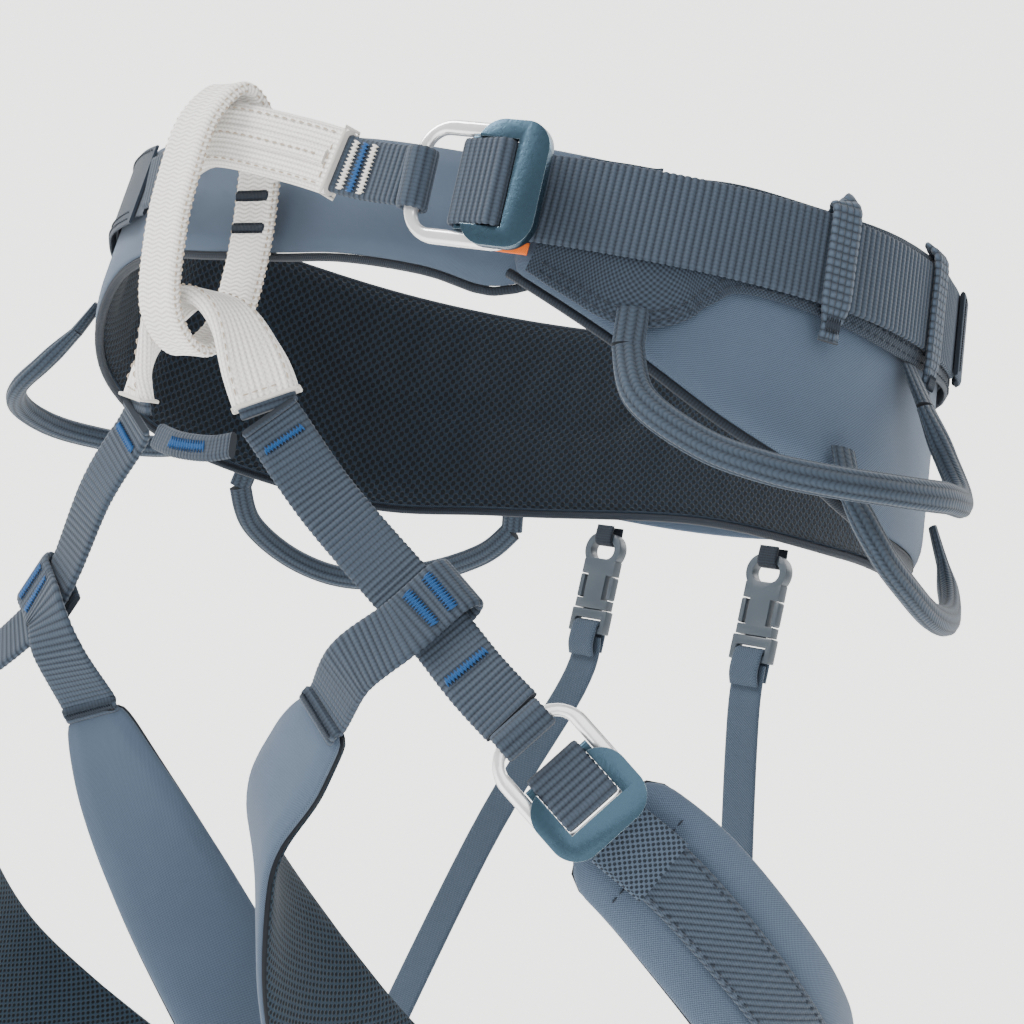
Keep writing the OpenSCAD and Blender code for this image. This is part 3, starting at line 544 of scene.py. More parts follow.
def fabric(name, low, high, weave, depth=0.25, rough=0.82, sheen=0.1, melange=0.22, **shape):
    """Woven cloth: the weave's height gives the colour of grooves and threads, and the bump.

    low and high are the colours of the grooves and of the threads, in sRGB from 0 to 255.
    """
    material, tree, shader = new_material(name)
    coords = tree.nodes.new("ShaderNodeUVMap")
    coords.uv_map = "weave"
    split = tree.nodes.new("ShaderNodeSeparateXYZ")
    tree.links.new(coords.outputs["UV"], split.inputs[0])
    u, v = Signal(tree, split.outputs[0]), Signal(tree, split.outputs[1])
    height = weave(u, v, **shape)
    place = tree.nodes.new("ShaderNodeTexCoord").outputs["Object"]
    threads = noise_signal(tree, coords.outputs["UV"], 1.7, 4.0)
    broad = noise_signal(tree, place, 28.0)
    tone = height * (1 - melange) + threads * melange + (broad - 0.5) * 0.22
    colour = mix_colour(tree, tone.do("MAXIMUM", 0.0).do("MINIMUM", 1.0), srgb(*low), srgb(*high))
    tree.links.new(colour, shader.inputs["Base Color"])
    roughness = broad * 0.12 + (rough - 0.06)
    tree.links.new(roughness.socket, shader.inputs["Roughness"])
    shader.inputs["Sheen Weight"].default_value = sheen
    shader.inputs["Sheen Roughness"].default_value = 0.45
    shader.inputs["Specular IOR Level"].default_value = 0.25
    add_bump(tree, shader, height + threads * 0.35, depth)
    return material


def hard(name, colour, metal, rough, grain=900.0, depth=0.02, coat=0.0):
    """Metal or plastic with fine grain in its gloss."""
    material, tree, shader = new_material(name)
    place = tree.nodes.new("ShaderNodeTexCoord").outputs["Object"]
    grains = noise_signal(tree, place, grain, 2.0)
    broad = noise_signal(tree, place, 45.0, 4.0)
    light = srgb(*colour)
    dark = tuple(c * 0.8 for c in light[:3]) + (1,)
    shade = mix_colour(tree, broad, dark, light)
    tree.links.new(shade, shader.inputs["Base Color"])
    tree.links.new((grains * 0.1 + broad * 0.08 + (rough - 0.09)).socket, shader.inputs["Roughness"])
    shader.inputs["Metallic"].default_value = metal
    shader.inputs["Coat Weight"].default_value = coat
    add_bump(tree, shader, grains, depth)
    return material


def make_materials():
    slate_low = (18, 24, 32)
    return {
        "shell": fabric("shell_weave", (36, 46, 60), (94, 110, 131), plain, 0.12, pitch=0.8),
        "band": fabric("band_weave", (8, 12, 18), (58, 70, 85), plain, 0.2, pitch=1.1),
        "mesh": fabric("spacer_mesh", (2, 6, 11), (20, 33, 46), mesh_dots, 0.6, 0.9, 0.05, 0.15),
        "leg_mesh": fabric("leg_mesh", (2, 7, 12), (36, 52, 66), mesh_dots, 0.5, 0.9, 0.05, 0.15,
                           pitch=2.8, size=0.3),
        "webbing": fabric("ribbed_webbing", slate_low, (62, 73, 87), ribs, 0.3),
        "fine_webbing": fabric("fine_ribbed_webbing", slate_low, (60, 70, 83), ribs, 0.2, pitch=1.4),
        "twill": fabric("twill_webbing", (14, 20, 29), (68, 80, 95), twill, 0.35, pitch=2.2),
        "keeper": fabric("keeper_weave", (12, 18, 26), (74, 87, 103), checks, 0.45),
        "tube": fabric("braided_tube", (10, 16, 24), (58, 70, 84), chain, 0.35, 0.75),
        "knit": fabric("knit_cover", (14, 21, 30), (72, 86, 103), mesh_dots, 0.3, pitch=1.9,
                       size=0.3),
        "elastic": fabric("rear_elastic", (34, 44, 57), (74, 88, 104), plain, 0.15, pitch=1.0),
        "piping": fabric("piping", (8, 12, 18), (30, 38, 49), ribs, 0.1, pitch=0.9),
        "white_knit": fabric("white_knit", (176, 172, 168), (250, 248, 245), chain, 0.3, 0.8, 0.15),
        "white_weave": fabric("white_weave", (182, 178, 174), (247, 245, 242), waves, 0.25, 0.8,
                              0.15),
        "tag": fabric("tag_weave", (214, 92, 28), (247, 128, 48), plain, 0.08, pitch=0.6),
        "thread": fabric("dark_thread", (20, 26, 34), (44, 52, 64), plain, 0.02),
        "blue_thread": fabric("blue_thread", (10, 44, 84), (30, 84, 138), plain, 0.02),
        "pale_thread": fabric("pale_thread", (170, 166, 160), (228, 224, 218), plain, 0.02),
        "beige_thread": fabric("beige_thread", (150, 138, 124), (196, 182, 164), plain, 0.02),
        # The ring is polished metal but only 0.65 metallic, so its near-white colour also shows as diffuse
        # white. That is painted brightness standing in for the studio's reflection in it.
        "ring": hard("polished_ring_painted_bright", (248, 248, 249), 0.65, 0.2),
        "plate": hard("anodised_plate", (60, 82, 97), 0.9, 0.28, depth=0.04),
        # The plate's rounded edges get a lighter metal than its face: painted highlights where the bevels
        # catch the light.
        "plate_edge_highlight": hard("painted_edge_highlight", (176, 192, 200), 1.0, 0.22),
        "clip": hard("clip_plastic", (60, 69, 78), 0.0, 0.42, grain=1500.0, depth=0.05, coat=0.1),
    }


M = make_materials()


# ---- padded pieces ----
def mesh_values(collection, name):
    """One vector for each of the mesh's points."""
    values = np.empty(len(collection) * 3, np.float32)
    collection.foreach_get(name, values)
    return values.reshape(-1, 3).astype(float)


SIMULATED_FRAMES = 20


def inflate(obj, pinned, cap, pressure=4.0):
    """Swell a closed mesh by cloth simulation, with seams held and travel capped, in millimetres."""
    mesh = obj.data
    rest = mesh_values(mesh.vertices, "co")
    free = 1 - pinned
    group = obj.vertex_groups.new(name="seams")
    for level in np.unique(np.round(pinned, 1)):
        chosen = np.flatnonzero(np.round(pinned, 1) == level)
        if level > 0:
            group.add(chosen.tolist(), float(level), "REPLACE")
    cloth = obj.modifiers.new("Cloth", "CLOTH")
    settings = cloth.settings
    settings.use_pressure = True
    settings.uniform_pressure_force = pressure
    settings.effector_weights.gravity = 0
    settings.vertex_group_mass = "seams"
    settings.quality = 5
    cloth.collision_settings.use_collision = False
    scene = bpy.context.scene
    for step in range(1, SIMULATED_FRAMES + 1):
        scene.frame_set(step)
    shown = obj.evaluated_get(bpy.context.evaluated_depsgraph_get()).data
    moved = (mesh_values(shown.vertices, "co") - rest) * free[:, None]
    obj.modifiers.remove(cloth)
    obj.vertex_groups.clear()
    scene.frame_set(1)
    size = np.linalg.norm(moved, axis=1)
    moved *= np.minimum(1, cap * MM / np.maximum(size, 1e-9))[:, None]
    mesh.vertices.foreach_set("co", (rest + moved).astype(np.float32).ravel())
    mesh.update()


def subdivided(obj, levels=1):
    modifier = obj.modifiers.new("smoother", "SUBSURF")
    modifier.levels = modifier.render_levels = levels
    modifier.boundary_smooth = "PRESERVE_CORNERS"
    graph = bpy.context.evaluated_depsgraph_get()
    made = bpy.data.meshes.new_from_object(obj.evaluated_get(graph))
    obj.modifiers.clear()
    obj.data = made
    smooth_shading(made, 60)


def pad(name, rings, held, u, v, material, body, node, cap, relief=None):
    """A padded piece through rings; held is 1 where a seam or a neighbour holds it."""
    mesh = skin_mesh(name, rings, u, v)
    smooth_shading(mesh, 80)
    obj = add_object(name, mesh, material, None)
    inflate(obj, held.ravel(), cap)
    if relief is not None:
        moulded = mesh_values(mesh.vertices, "co") + relief.reshape(-1, 3) * MM
        mesh.vertices.foreach_set("co", moulded.astype(np.float32).ravel())
    subdivided(obj)
    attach(obj, body)
    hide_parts(node)
    return obj


def both_faces(values):
    """Values over a padded piece's outer face, then the same over its inner face."""
    return np.concatenate([values, values[:, ::-1]], axis=1)


def ease(x, reach):
    """1 at 0, falling to 0 at reach."""
    t = np.clip(np.abs(x) / reach, 0, 1)
    return 1 - t * t * (3 - 2 * t)


# ---- waist belt ----
def outline_at(outline, angles):
    o = smooth(outline, 12)
    return np.column_stack([np.interp(angles, o[:, 0], c) for c in o.T])


def belt_rows(spacing=4.6):
    """Belt outline rows at even distances, with the distance along at each."""
    o = smooth(BELT_OUTLINE, 30)
    middle = ring_point(o[:, 0], (o[:, 1] + o[:, 2]) / 2, o[:, 3] - 6)
    along = np.concatenate([[0], np.cumsum(np.linalg.norm(np.diff(middle, axis=0), axis=1))])
    v = np.linspace(0, along[-1], round(along[-1] / spacing) + 1)
    return np.column_stack([np.interp(v, along, c) for c in o.T]), v


def belt_grid(outer, inner, squeeze, inset, points=19):
    """Rings, heights and distance to the nearest seam of one belt layer.

    outer and inner are how far out its faces lie; squeeze says how far each draws in at the seams.
    """
    rows, v = belt_rows()
    angle, top, bottom, shift = (c[:, None] for c in rows.T)
    t = np.linspace(0, 1, points)[None]
    z = (bottom + inset) * (1 - t) + (top - inset) * t
    ends = np.minimum(v, v[-1] - v)[:, None]
    edge = np.minimum(np.minimum(z - bottom, top - z) - inset, ends)
    near = ease(edge, 5.0)
    angle = angle + 0 * z
    out_face = ring_point(angle, z, outer - squeeze[0] * near + shift)
    in_face = ring_point(angle, z, inner + squeeze[1] * near + shift)
    rings = np.concatenate([out_face, in_face[:, ::-1]], axis=1)
    heights, edges, angles = both_faces(z), both_faces(edge), both_faces(angle)
    u = np.concatenate([np.linspace(0, 80, points), np.linspace(84, 164, points), [166]])
    return rings, angles, heights, edges, u, v, points


def belt_shell():
    rings, angles, heights, edges, u, v, points = belt_grid(-4.2, -7.7, (1.6, 0.6), 0.6)
    held = ease(edges, 7)
    band_bottom = outline_at(BAND_OUTLINE, angles.ravel())[:, 2].reshape(angles.shape)
    covered = (angles < 329) & (angles > 40)
    held = np.maximum(held, np.where(covered, np.clip((heights - band_bottom + 4) / 4, 0, 1), 0))
    panel = ease(np.maximum(np.abs(angles - 180) - 27, 0), 6)
    held = np.maximum(held, panel)
    held[:, points:] = 1
    held[[0, -1]] = 1
    pad("belt_shell_pad", rings, held, u, v, M["shell"], "belt", "belt_shell", 1.8)


def lumbar_line(angles):
    """Height of the moulded line round the lumbar panel inside the belt, or nothing outside it."""
    away = np.abs(angles - 180)
    return np.interp(away, (0, 8, 15, 52, 72, 80), (-8, -10, -24, -27, -2, 4), right=40)


def belt_liner():
    rings, angles, heights, edges, u, v, points = belt_grid(-8.1, -11.3, (0.2, 2.2), 1.6)
    groove = ease(heights - lumbar_line(angles), 4.5)
    held = np.maximum(ease(edges, 7), groove)
    held[:, :points] = 1
    held[[0, -1]] = 1
    relief = np.zeros(rings.shape)
    relief[:, points:] = (ring_normal(angles, 0) * (groove * 1.5)[..., None])[:, points:]
    pad("belt_liner_pad", rings, held, u, v, M["mesh"], "belt", "belt_liner", 2.4, relief)


def edge_rows(drop, out):
    rows, _ = belt_rows(6)
    return np.column_stack([ring_point(rows[:, 0], rows[:, 2] - drop, out + rows[:, 3]),
                            ring_normal(rows[:, 0]), np.full(len(rows), 2.8)])


def belt_details():
    band("belt_piping", Path(edge_rows(0.4, -7.8), 1.5), 3.2, M["piping"], "belt", "belt_binding",
         points=4)
    rows, _ = belt_rows(6)
    top = np.column_stack([ring_point(rows[:, 0], rows[:, 1] - 1.6, rows[:, 3] - 7.9),
                           ring_normal(rows[:, 0]), np.full(len(rows), 2.0)])
    band("belt_top_piping", Path(top, 2), 2.2, M["piping"], "belt", None, points=4)
    channel = Path(ring_rows(BAND_OUTLINE, -1.6), 2.0)
    sheet = band("channel_panel", channel, 1.0, M["band"], "belt", "channel_band", points=24)
    low = channel.width / 2 - 1.8
    v = np.arange(2, channel.length - 2, 1.0)
    lines = []
    for side, inset in ((1, 0), (1, 2.6), (-1, 0)):
        u = side * (np.interp(v, channel.v, low) - inset)
        lines += dashes(channel.at(v, u, 0.72), normals=channel.frame(v)[2], gap=3.0, length=2.0)
    merged_tubes("channel_stitching", lines, 0.3, "belt")
    webbing = [(a, z + 11.5, z - 11.5, (308 - a) / 16 if a > 308 else 0) for a, z in WEBBING_MIDDLE]
    band("structural_webbing", Path(ring_rows(webbing, -2.9), 2.0), 1.0, M["fine_webbing"], "belt",
         "waist_webbing", points=8)
    rear = [(a, -19, -57 + 3 * ((a - 180) / 28) ** 2, 0) for a in range(152, 209, 4)]
    back = Path(ring_rows(rear, -2.4, 2), 2.0)
    sheet = band("rear_sewn_panel", back, 1.6, M["shell"], "belt", "rear_panel", points=20)
    v = np.arange(1, back.length - 1, 1.0)
    lines = []
    for side in (-1, 1):
        lines += dashes(back.at(v, side * (np.interp(v, back.v, back.width) / 2 - 2), 1.0),
                        normals=back.frame(v)[2])
    for end in (2.0, back.length - 2.0):
        lines += cross_dashes(back, end, 17, 1.0)
    merged_tubes("rear_panel_stitching", lines, 0.3, "belt")


def waist_strap():
    half = WAIST_WIDTH / 2
    rows = ring_rows([(a, half, -half, 0) for a in np.arange(32.5, 118, 4.5)], 0.0, 3)
    band("waist_strap", Path(rows, 0.5), 1.8, M["webbing"], "belt", "waist_strap_tail",
         rib=(2.0, 0.34), points=14)
    turned = ring_rows([(111, half, -half, 2.0), (114, half, -half, 2.0), (117, half, -half, 1.9),
                        (118, half, -half, 1.0), (117.6, half, -half, 0.6)], 0.0, 6)
    path = Path(turned, 0.5)
    band("waist_strap_hem", path, 1.7, M["webbing"], "belt", None, rib=(2.0, 0.3), points=12)
    lines = [zigzag(path, 1.5, 2.6, -11, 11, 1.0, 30)]
    merged_tubes("waist_strap_hem_stitch", lines, 0.25, "belt")
    keeper("front_keeper", 77.5, 9, 15, -15.5)
    keeper("side_keeper", 100, 8, 15, -19)
    rows = [(*ring_point(299, z, out), *ring_normal(299), 16)
            for z, out in ((25.5, -1.5), (24.6, -0.2), (20, 0.2), (10, 0.2), (1, 0.1), (-0.8, -0.6))]
    band("right_keeper_strap", Path(smooth(rows, 5), 0.6), 1.6, M["fine_webbing"], "belt", "right_keeper",
         rib=(1.4, 0.2), points=10)
    tag = Path(ring_rows([(a, -12.5, -16, 0.2) for a in (34, 36, 38)], -3.0), 1.0)
    band("size_label", tag, 0.4, M["tag"], "belt", "size_tag", points=6)


def keeper(node, angle, width, top, bottom):
    """Chunky strap keeper over the webbing, gathered and sewn below it."""
    spots = ((top + 1.6, -2.4, width), (top + 1.2, 0.2, width), (top - 2, 1.9, width),
             (0, 2.0, width), (bottom + 5, 2.0, width), (bottom + 1, 1.6, width * 0.86),
             (bottom - 3, 0.9, width * 0.62), (bottom - 7, 0.6, width * 0.7))
    rows = [(*ring_point(angle, z, out), *ring_normal(angle), w) for z, out, w in spots]
    path = Path(smooth(rows, 6), 0.6)
    band(node + "_strap", path, 2.2, M["keeper"], "belt", node, rib=(2.2, 0.25),
         grooves=(2.2, 0.2), points=17)
    lines = [zigzag(path, path.length - 6.5, path.length - 2.5, -2.2, 2.2, 1.3, 6)]
    merged_tubes(node + "_stitch", lines, 0.3, "belt")


# ---- buckles ----
LEG_BUCKLE_YAW, LEG_BUCKLE_SLOPE = 45, 36
WAIST_BUCKLE_OUT = 3.6
RING_EXTRA_LENGTH = 26.5
WRAP_RADIUS = 2.5
WRAP_MARGIN = 1.2


def turn_z(degrees):
    c, s = math.cos(math.radians(degrees)), math.sin(math.radians(degrees))
    return np.array([[c, -s, 0], [s, c, 0], [0, 0, 1]])


def turn_y(degrees):
    c, s = math.cos(math.radians(degrees)), math.sin(math.radians(degrees))
    return np.array([[c, 0, s], [0, 1, 0], [-s, 0, c]])


def buckle_place(which):
    """Rotation and position of a buckle's own frame, on the wearer's left for both legs."""
    if which == "waist":
        n = ring_normal(WAIST_BUCKLE_ANGLE, 0)
        yaw = math.degrees(math.atan2(n[0], -n[1]))
        return turn_z(yaw), ring_point(WAIST_BUCKLE_ANGLE, 0, WAIST_BUCKLE_OUT)
    return turn_z(LEG_BUCKLE_YAW) @ turn_y(LEG_BUCKLE_SLOPE), np.array(BUCKLES[which], float)


def loop_rows(which, ends, radius, width, count=48):
    """Rows of a strap round the line between two points in the buckle's x and y."""
    turn, place = buckle_place(which)
    a, b = (np.array(e, float) for e in ends)
    rows = []
    for angle in np.arange(count) * 2 * np.pi / count:
        n = np.array([math.cos(angle), math.sin(angle)])
        p = (b if (b - a) @ n > 0 else a) + n * radius
        rows.append([*(turn @ (*p, 0) + place), *(turn @ (*n, 0)), width])
    return sided(rows, which)


def refined(node, material, bevel, segments, body, edge=None):
    """A CAD part's own shape with its edges rounded; edge is the material of the rounded edges."""
    bm = bmesh.new()
    bm.from_mesh(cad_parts[node].data)
    bmesh.ops.remove_doubles(bm, verts=bm.verts, dist=1e-5)
    bmesh.ops.dissolve_limit(bm, angle_limit=math.radians(3), verts=bm.verts, edges=bm.edges)
    sharp = [e for e in bm.edges if len(e.link_faces) == 2 and e.calc_face_angle(0) > math.radians(32)]
    bmesh.ops.bevel(bm, geom=sharp, offset=bevel * MM, segments=segments, profile=0.5, affect="EDGES",
                    clamp_overlap=True, material=1 if edge else -1)
    mesh = bpy.data.meshes.new(node + "_shape")
    bm.to_mesh(mesh)
    bm.free()
    smooth_shading(mesh, 32)
    obj = add_object(node + "_shape", mesh, material, body, node)
    if edge:
        mesh.materials.append(edge)
    return obj


def buckle(which, webbing_width, prefix, body, plate_body):
    # The frame takes the ring material, whose diffuse white share is painted brightness.
    refined(prefix + "_frame", M["ring"], 1.35, 5, body)
    # The plate's rounded edges take the lighter edge material, a painted highlight.
    refined(prefix + "_plate", M["plate"], 0.55, 2, plate_body, M["plate_edge_highlight"])
    length = webbing_width / 2 + RING_EXTRA_LENGTH
    width = webbing_width - WRAP_MARGIN
    wrap = Path(loop_rows(which, (PIN_PLACE, WRAP_FAR), WRAP_RADIUS, width), 0.4, True)
    ribbed(prefix + "_strap_wrap", wrap, WEBBING_THICKNESS, body, prefix + "_wrap", points=14)
    return ((RING_BAR - length) / 2, -RING_DEPTH / 2)


# ---- tie-in points and belay loop ----
TIE_IN_THICKNESS, SLEEVE_THICKNESS, SLEEVE_EXTRA_WIDTH = 2.2, 5.4, 3


def sleeve(name, rows, node, ridge):
    path = Path(rows, 1.2)
    path.width = path.width + SLEEVE_EXTRA_WIDTH
    thick = SLEEVE_THICKNESS
    band(name, path, thick, M["white_knit"], "belt", node, grooves=(1.5, 0.16), points=54)
    ends = []
    for end in (0.4, path.length - 0.4):
        half = float(np.interp(end, path.v, path.width)) / 2 + 0.15
        flat = np.linspace(-half, half, 24)
        top = path.at(np.full(24, end), flat, thick / 2 + 0.1)
        low = path.at(np.full(24, end), flat[::-1], -thick / 2 - 0.1)
        ends.append(np.vstack([top, low, top[:1]]))
    merged_tubes(name + "_bound_ends", ends, 0.55, "belt", M["pale_thread"])
    lines = []
    for inset in (-1, 1):
        v = np.arange(2, path.length - 2, 1.0)
        u = inset * (np.interp(v, path.v, path.width) / 2 - 2.2)
        lines += dashes(path.at(v, u, thick / 2 + 0.1), normals=path.frame(v)[2], gap=3.4)
    for end in (3.0, path.length - 3.0):
        lines += cross_dashes(path, end, 7.5, thick / 2 + 0.1, 0.8, gap=2.8, length=1.9)
    if ridge:
        rows = np.column_stack([path.points + path.normal * (thick / 2 + 0.35), path.normal,
                                np.full(len(path.v), 4.6)])
        seam = Path(rows[3:-3], 1.0)
        band(name + "_seam", seam, 1.3, M["white_knit"], "belt", None, grooves=(1.5, 0.12),
             points=14)
        lines += path_dashes(seam, 0, 0.75, 2, seam.length - 2, gap=3.2)
    merged_tubes(name + "_stitching", lines, 0.28, "belt", M["beige_thread"])
    return path


def tie_ins():
    upper = smooth(UPPER_TIE_IN, 6)
    strap = Path(upper, 0.5)
    ribbed("upper_tie_in_strap", strap, TIE_IN_THICKNESS, "belt", "upper_tie_in_webbing", 0.26)
    sleeve("upper_sleeve", upper[8:31], "upper_tie_in_sleeve", True)
    pale, blue = [], []
    sleeve_start = 8 / 6 * 18
    for k, threads in ((0, pale), (1, blue), (2, pale)):
        v0 = sleeve_start - 11.5 + k * 4.0
        threads.append(zigzag(strap, v0, v0 + 2.8, -7.2, 7.2, 1.3, 13))
    merged_tubes("upper_bartacks_pale", pale, 0.42, "belt", M["pale_thread"])
    merged_tubes("upper_bartack_blue", blue, 0.42, "belt", M["blue_thread"])
    lower = smooth(LOWER_TIE_IN, 6)
    ribbed("lower_tie_in_strap", Path(lower, 0.6), TIE_IN_THICKNESS, "belt", "lower_tie_in_webbing", 0.26)
    sleeve("lower_sleeve", lower[2:41], "lower_tie_in_sleeve", False)
    cross = Path(smooth(CROSSBAR, 6), 0.5)
    band("riser_crossbar", cross, 3.0, M["fine_webbing"], "belt", "crossbar_strap",
         rib=(1.3, 0.2), points=8)
    middle = cross.length / 2
    merged_tubes("crossbar_bartack", [zigzag(cross, middle - 8, middle + 8, -1.6, 1.6, 1.6, 14)], 0.35,
                 "belt", M["blue_thread"])


def belay_loop():
    path = Path(smooth(BELAY, 8, True), 0.33, True)
    band("belay_loop_webbing", path, 4.0, M["white_weave"], "belay_loop", "belay_loop",
         rib=(1.3, 0.14), points=18, crown=-0.25)
    lines = []
    v = np.arange(0, path.length, 0.8)
    for side in (-1, 1):
        for row in (-0.95, 0.95):
            lines += dashes(path.at(v, side * 9.02, row), normals=path.frame(v)[1] * side, gap=2.3,
                            length=1.3, dip=0.2)
    merged_tubes("belay_edge_stitches", lines, 0.36, "belay_loop", M["beige_thread"])
    bars = []
    for height in (-3, -13):
        rear = (path.points[:, 1] > -97)
        at = path.v[rear][np.argmin(np.abs(path.points[rear, 2] - height))]
        bars.append(zigzag(path, at, at + 2.6, -7.6, 7.6, -2.0, 22))
    merged_tubes("belay_bartacks", bars, 0.42, "belay_loop", M["thread"])


# ---- gear loops ----
GEAR_TUBE, HAUL_TUBE = (9, 6.5, 5), (6, 4, 4)
SEWN_RISE, SEWN_OUT, SEWN_SHARE, SEWN_END_SHARE = 11, -1.6, 0.6, 0.4


def tube(name, spots, width, thick, lines, body, node=None):
    """A braided tube on the waist ring, with its thickness at each spot."""
    o = smooth(spots, 12)
    rows = np.column_stack([ring_point(o[:, 0], o[:, 1], o[:, 2]), ring_normal(o[:, 0], 0), thick])
    rows[:, 5] = 0.4
    path = Path(rows, 1.0)
    sides = 48
    turn = np.arange(sides) * 2 * np.pi / sides
    bead = 1 + 0.05 * (np.abs(np.sin(turn * lines)) - 1)
    across = np.cos(turn) * bead * width / 2 + 0 * path.v[:, None]
    out = np.sin(turn) * bead * path.width[:, None] / 2
    rings = path.rings(across, out)
    u = np.linspace(0, 1.5 * 2 * lines, sides + 1)
    mesh = skin_mesh(name, rings, u, path.v)
    smooth_shading(mesh, 60)
    add_object(name, mesh, M["tube"], body, node)


def sewn_end(name, spot, width, thick, lines):
    """Flat end of a loop's tube, sewn on the belt above the place where the loop turns."""
    angle, height, out = spot
    spots = [(angle, height + 0.2, out), (angle, height + SEWN_RISE / 2, (out + SEWN_OUT) / 2),
             (angle, height + SEWN_RISE, SEWN_OUT)]
    shares = np.linspace(SEWN_SHARE, SEWN_END_SHARE, 25)
    tube(name, spots, width, thick * shares, lines, "belt")


def hung_loop(node, spots, width, thick, lines):
    """A loop that turns on its own body, with both its ends sewn flat on the belt."""
    count = 12 * (len(spots) - 1) + 1
    ends = np.minimum(np.arange(count), np.arange(count)[::-1])
    thicks = thick * (1 - (1 - SEWN_SHARE) * ease(ends, 10))
    tube(node + "_tube", spots, width, thicks, lines, node, node)
    sewn_end(node + "_first_end", spots[0], width, thick, lines)
    sewn_end(node + "_last_end", spots[-1], width, thick, lines)


def gear_loops():
    for node, spots in GEAR_LOOPS.items():
        hung_loop(node, spots, *GEAR_TUBE)
    hung_loop("haul_loop", HAUL_LOOP, *HAUL_TUBE)


# ---- leg loops ----
def band_rows(start, riser):
    """The front band: up from the padding, over the riser, round its edge and back behind it."""
    riser = np.array(riser, float)
    spot, face = riser[2, :3], riser[2, 3:6]
    along = unit(riser[3, :3] - riser[1, :3])
    n = unit(face - along * (face @ along))
    u = np.cross(n, along)
    gap, reach = 3.6, 10
    folds = [(-8, gap, n), (2, gap, n), (reach, gap, n), (reach + gap, 0, u), (reach, -gap, -n),
             (0, -gap, -n), (-8, -gap, -n)]
    return list(start) + [(*(spot + u * a + n * o), *d, LEG_WIDTH) for a, o, d in folds]


def pad_length(rows, place):
    """Distance along the padding to a place counted in its rows."""
    steps = 8
    points = smooth(rows, steps)[:, :3]
    along = np.concatenate([[0], np.cumsum(np.linalg.norm(np.diff(points, axis=0), axis=1))])
    return along[round(place * steps)]


def end_taper(path):
    """Share of the padding's width near its ends, whose corners are rounded."""
    ends = np.minimum(path.v, path.length - path.v)
    start = np.where(path.v < path.length / 2, 0.12, 0.4)
    return 1 - start * (1 - np.clip(ends / 9, 0, 1)) ** 2


def leg_grid(path, outer, inner, squeeze, points=15):
    ends = np.minimum(path.v, path.length - path.v)
    half = path.width / 2 * end_taper(path)
    t = np.linspace(-1, 1, points)
    across = half[:, None] * t
    edge = np.minimum(half[:, None] - np.abs(across), ends[:, None])
    near = ease(edge, 5)
    out_face = path.rings(across, outer - squeeze[0] * near)
    in_face = path.rings(across, inner + squeeze[1] * near)
    rings = np.concatenate([out_face, in_face[:, ::-1]], axis=1)
    edges, acrosses = both_faces(edge), both_faces(across)
    u = np.concatenate([np.linspace(0, 50, points), np.linspace(54, 104, points), [106]])
    return rings, edges, acrosses, u, points


PAD_SEAMS = (3.1, 9.35)
STRAP_PLACES, KNIT_PLACES, REAR_PLACES = (7.75, 9.75), (9.25, 9.75), (5.75, 7.5)
STRAPPED_FROM = 5.6
REAR_COVER_WIDTH = 42


def leg_pads(side):
    rows = sided(PADS[side], side)
    path = Path(smooth(rows, 12), 4.4)
    body = side + "_leg"
    rings, edges, across, u, points = leg_grid(path, 1.7, -2.25, (1.4, 0.5))
    strapped = np.clip((path.v - pad_length(rows, STRAPPED_FROM)) / 10, 0, 1)[:, None]
    held = np.maximum(ease(edges, 6), strapped * ease(np.maximum(np.abs(across) - 9.5, 0), 4))
    for place in PAD_SEAMS:
        held = np.maximum(held, ease(path.v - pad_length(rows, place), 5)[:, None] + 0 * across)
    held[:, points:] = 1
    held[[0, -1]] = 1
    pad(side + "_leg_outer_pad", rings, held, u, path.v, M["shell"], body, side + "_leg_shell",
        2.0)
    lift = -(SHELL_THICKNESS + LINER_THICKNESS) / 2 - 0.2
    rings, edges, across, u, points = leg_grid(path, lift + 1.5, lift - 0.9, (0.2, 1.2))
    held = ease(edges, 6)
    held[:, :points] = 1
    held[[0, -1]] = 1
    pad(side + "_leg_mesh_pad", rings, held, u, path.v, M["leg_mesh"], body, side + "_leg_liner", 2.2)
    v = np.arange(1, path.length - 1, 2.0)
    half = np.interp(v, path.v, path.width / 2 * end_taper(path))
    edges = [path.at(v, s * (half - 1.4), -2.2) for s in (-1, 1)]
    merged_tubes(side + "_leg_piping", edges, 1.3, body, M["piping"])
    lines = []
    for place in PAD_SEAMS:
        at = pad_length(rows, place)
        reach = float(np.interp(at, path.v, path.width)) / 2 - 3
        lines += cross_dashes(path, at, reach, 1.9, gap=3.0)
    merged_tubes(side + "_leg_seams", lines, 0.28, body)


def outer_end(rows, first, last, lift, width):
    steps = 8
    part = smooth(rows, steps)[round(first * steps):round(last * steps) + 1]
    n = unit(part[:, 3:6])
    return np.column_stack([part[:, :3] + n * lift, part[:, 3:6], np.full(len(part), width)])


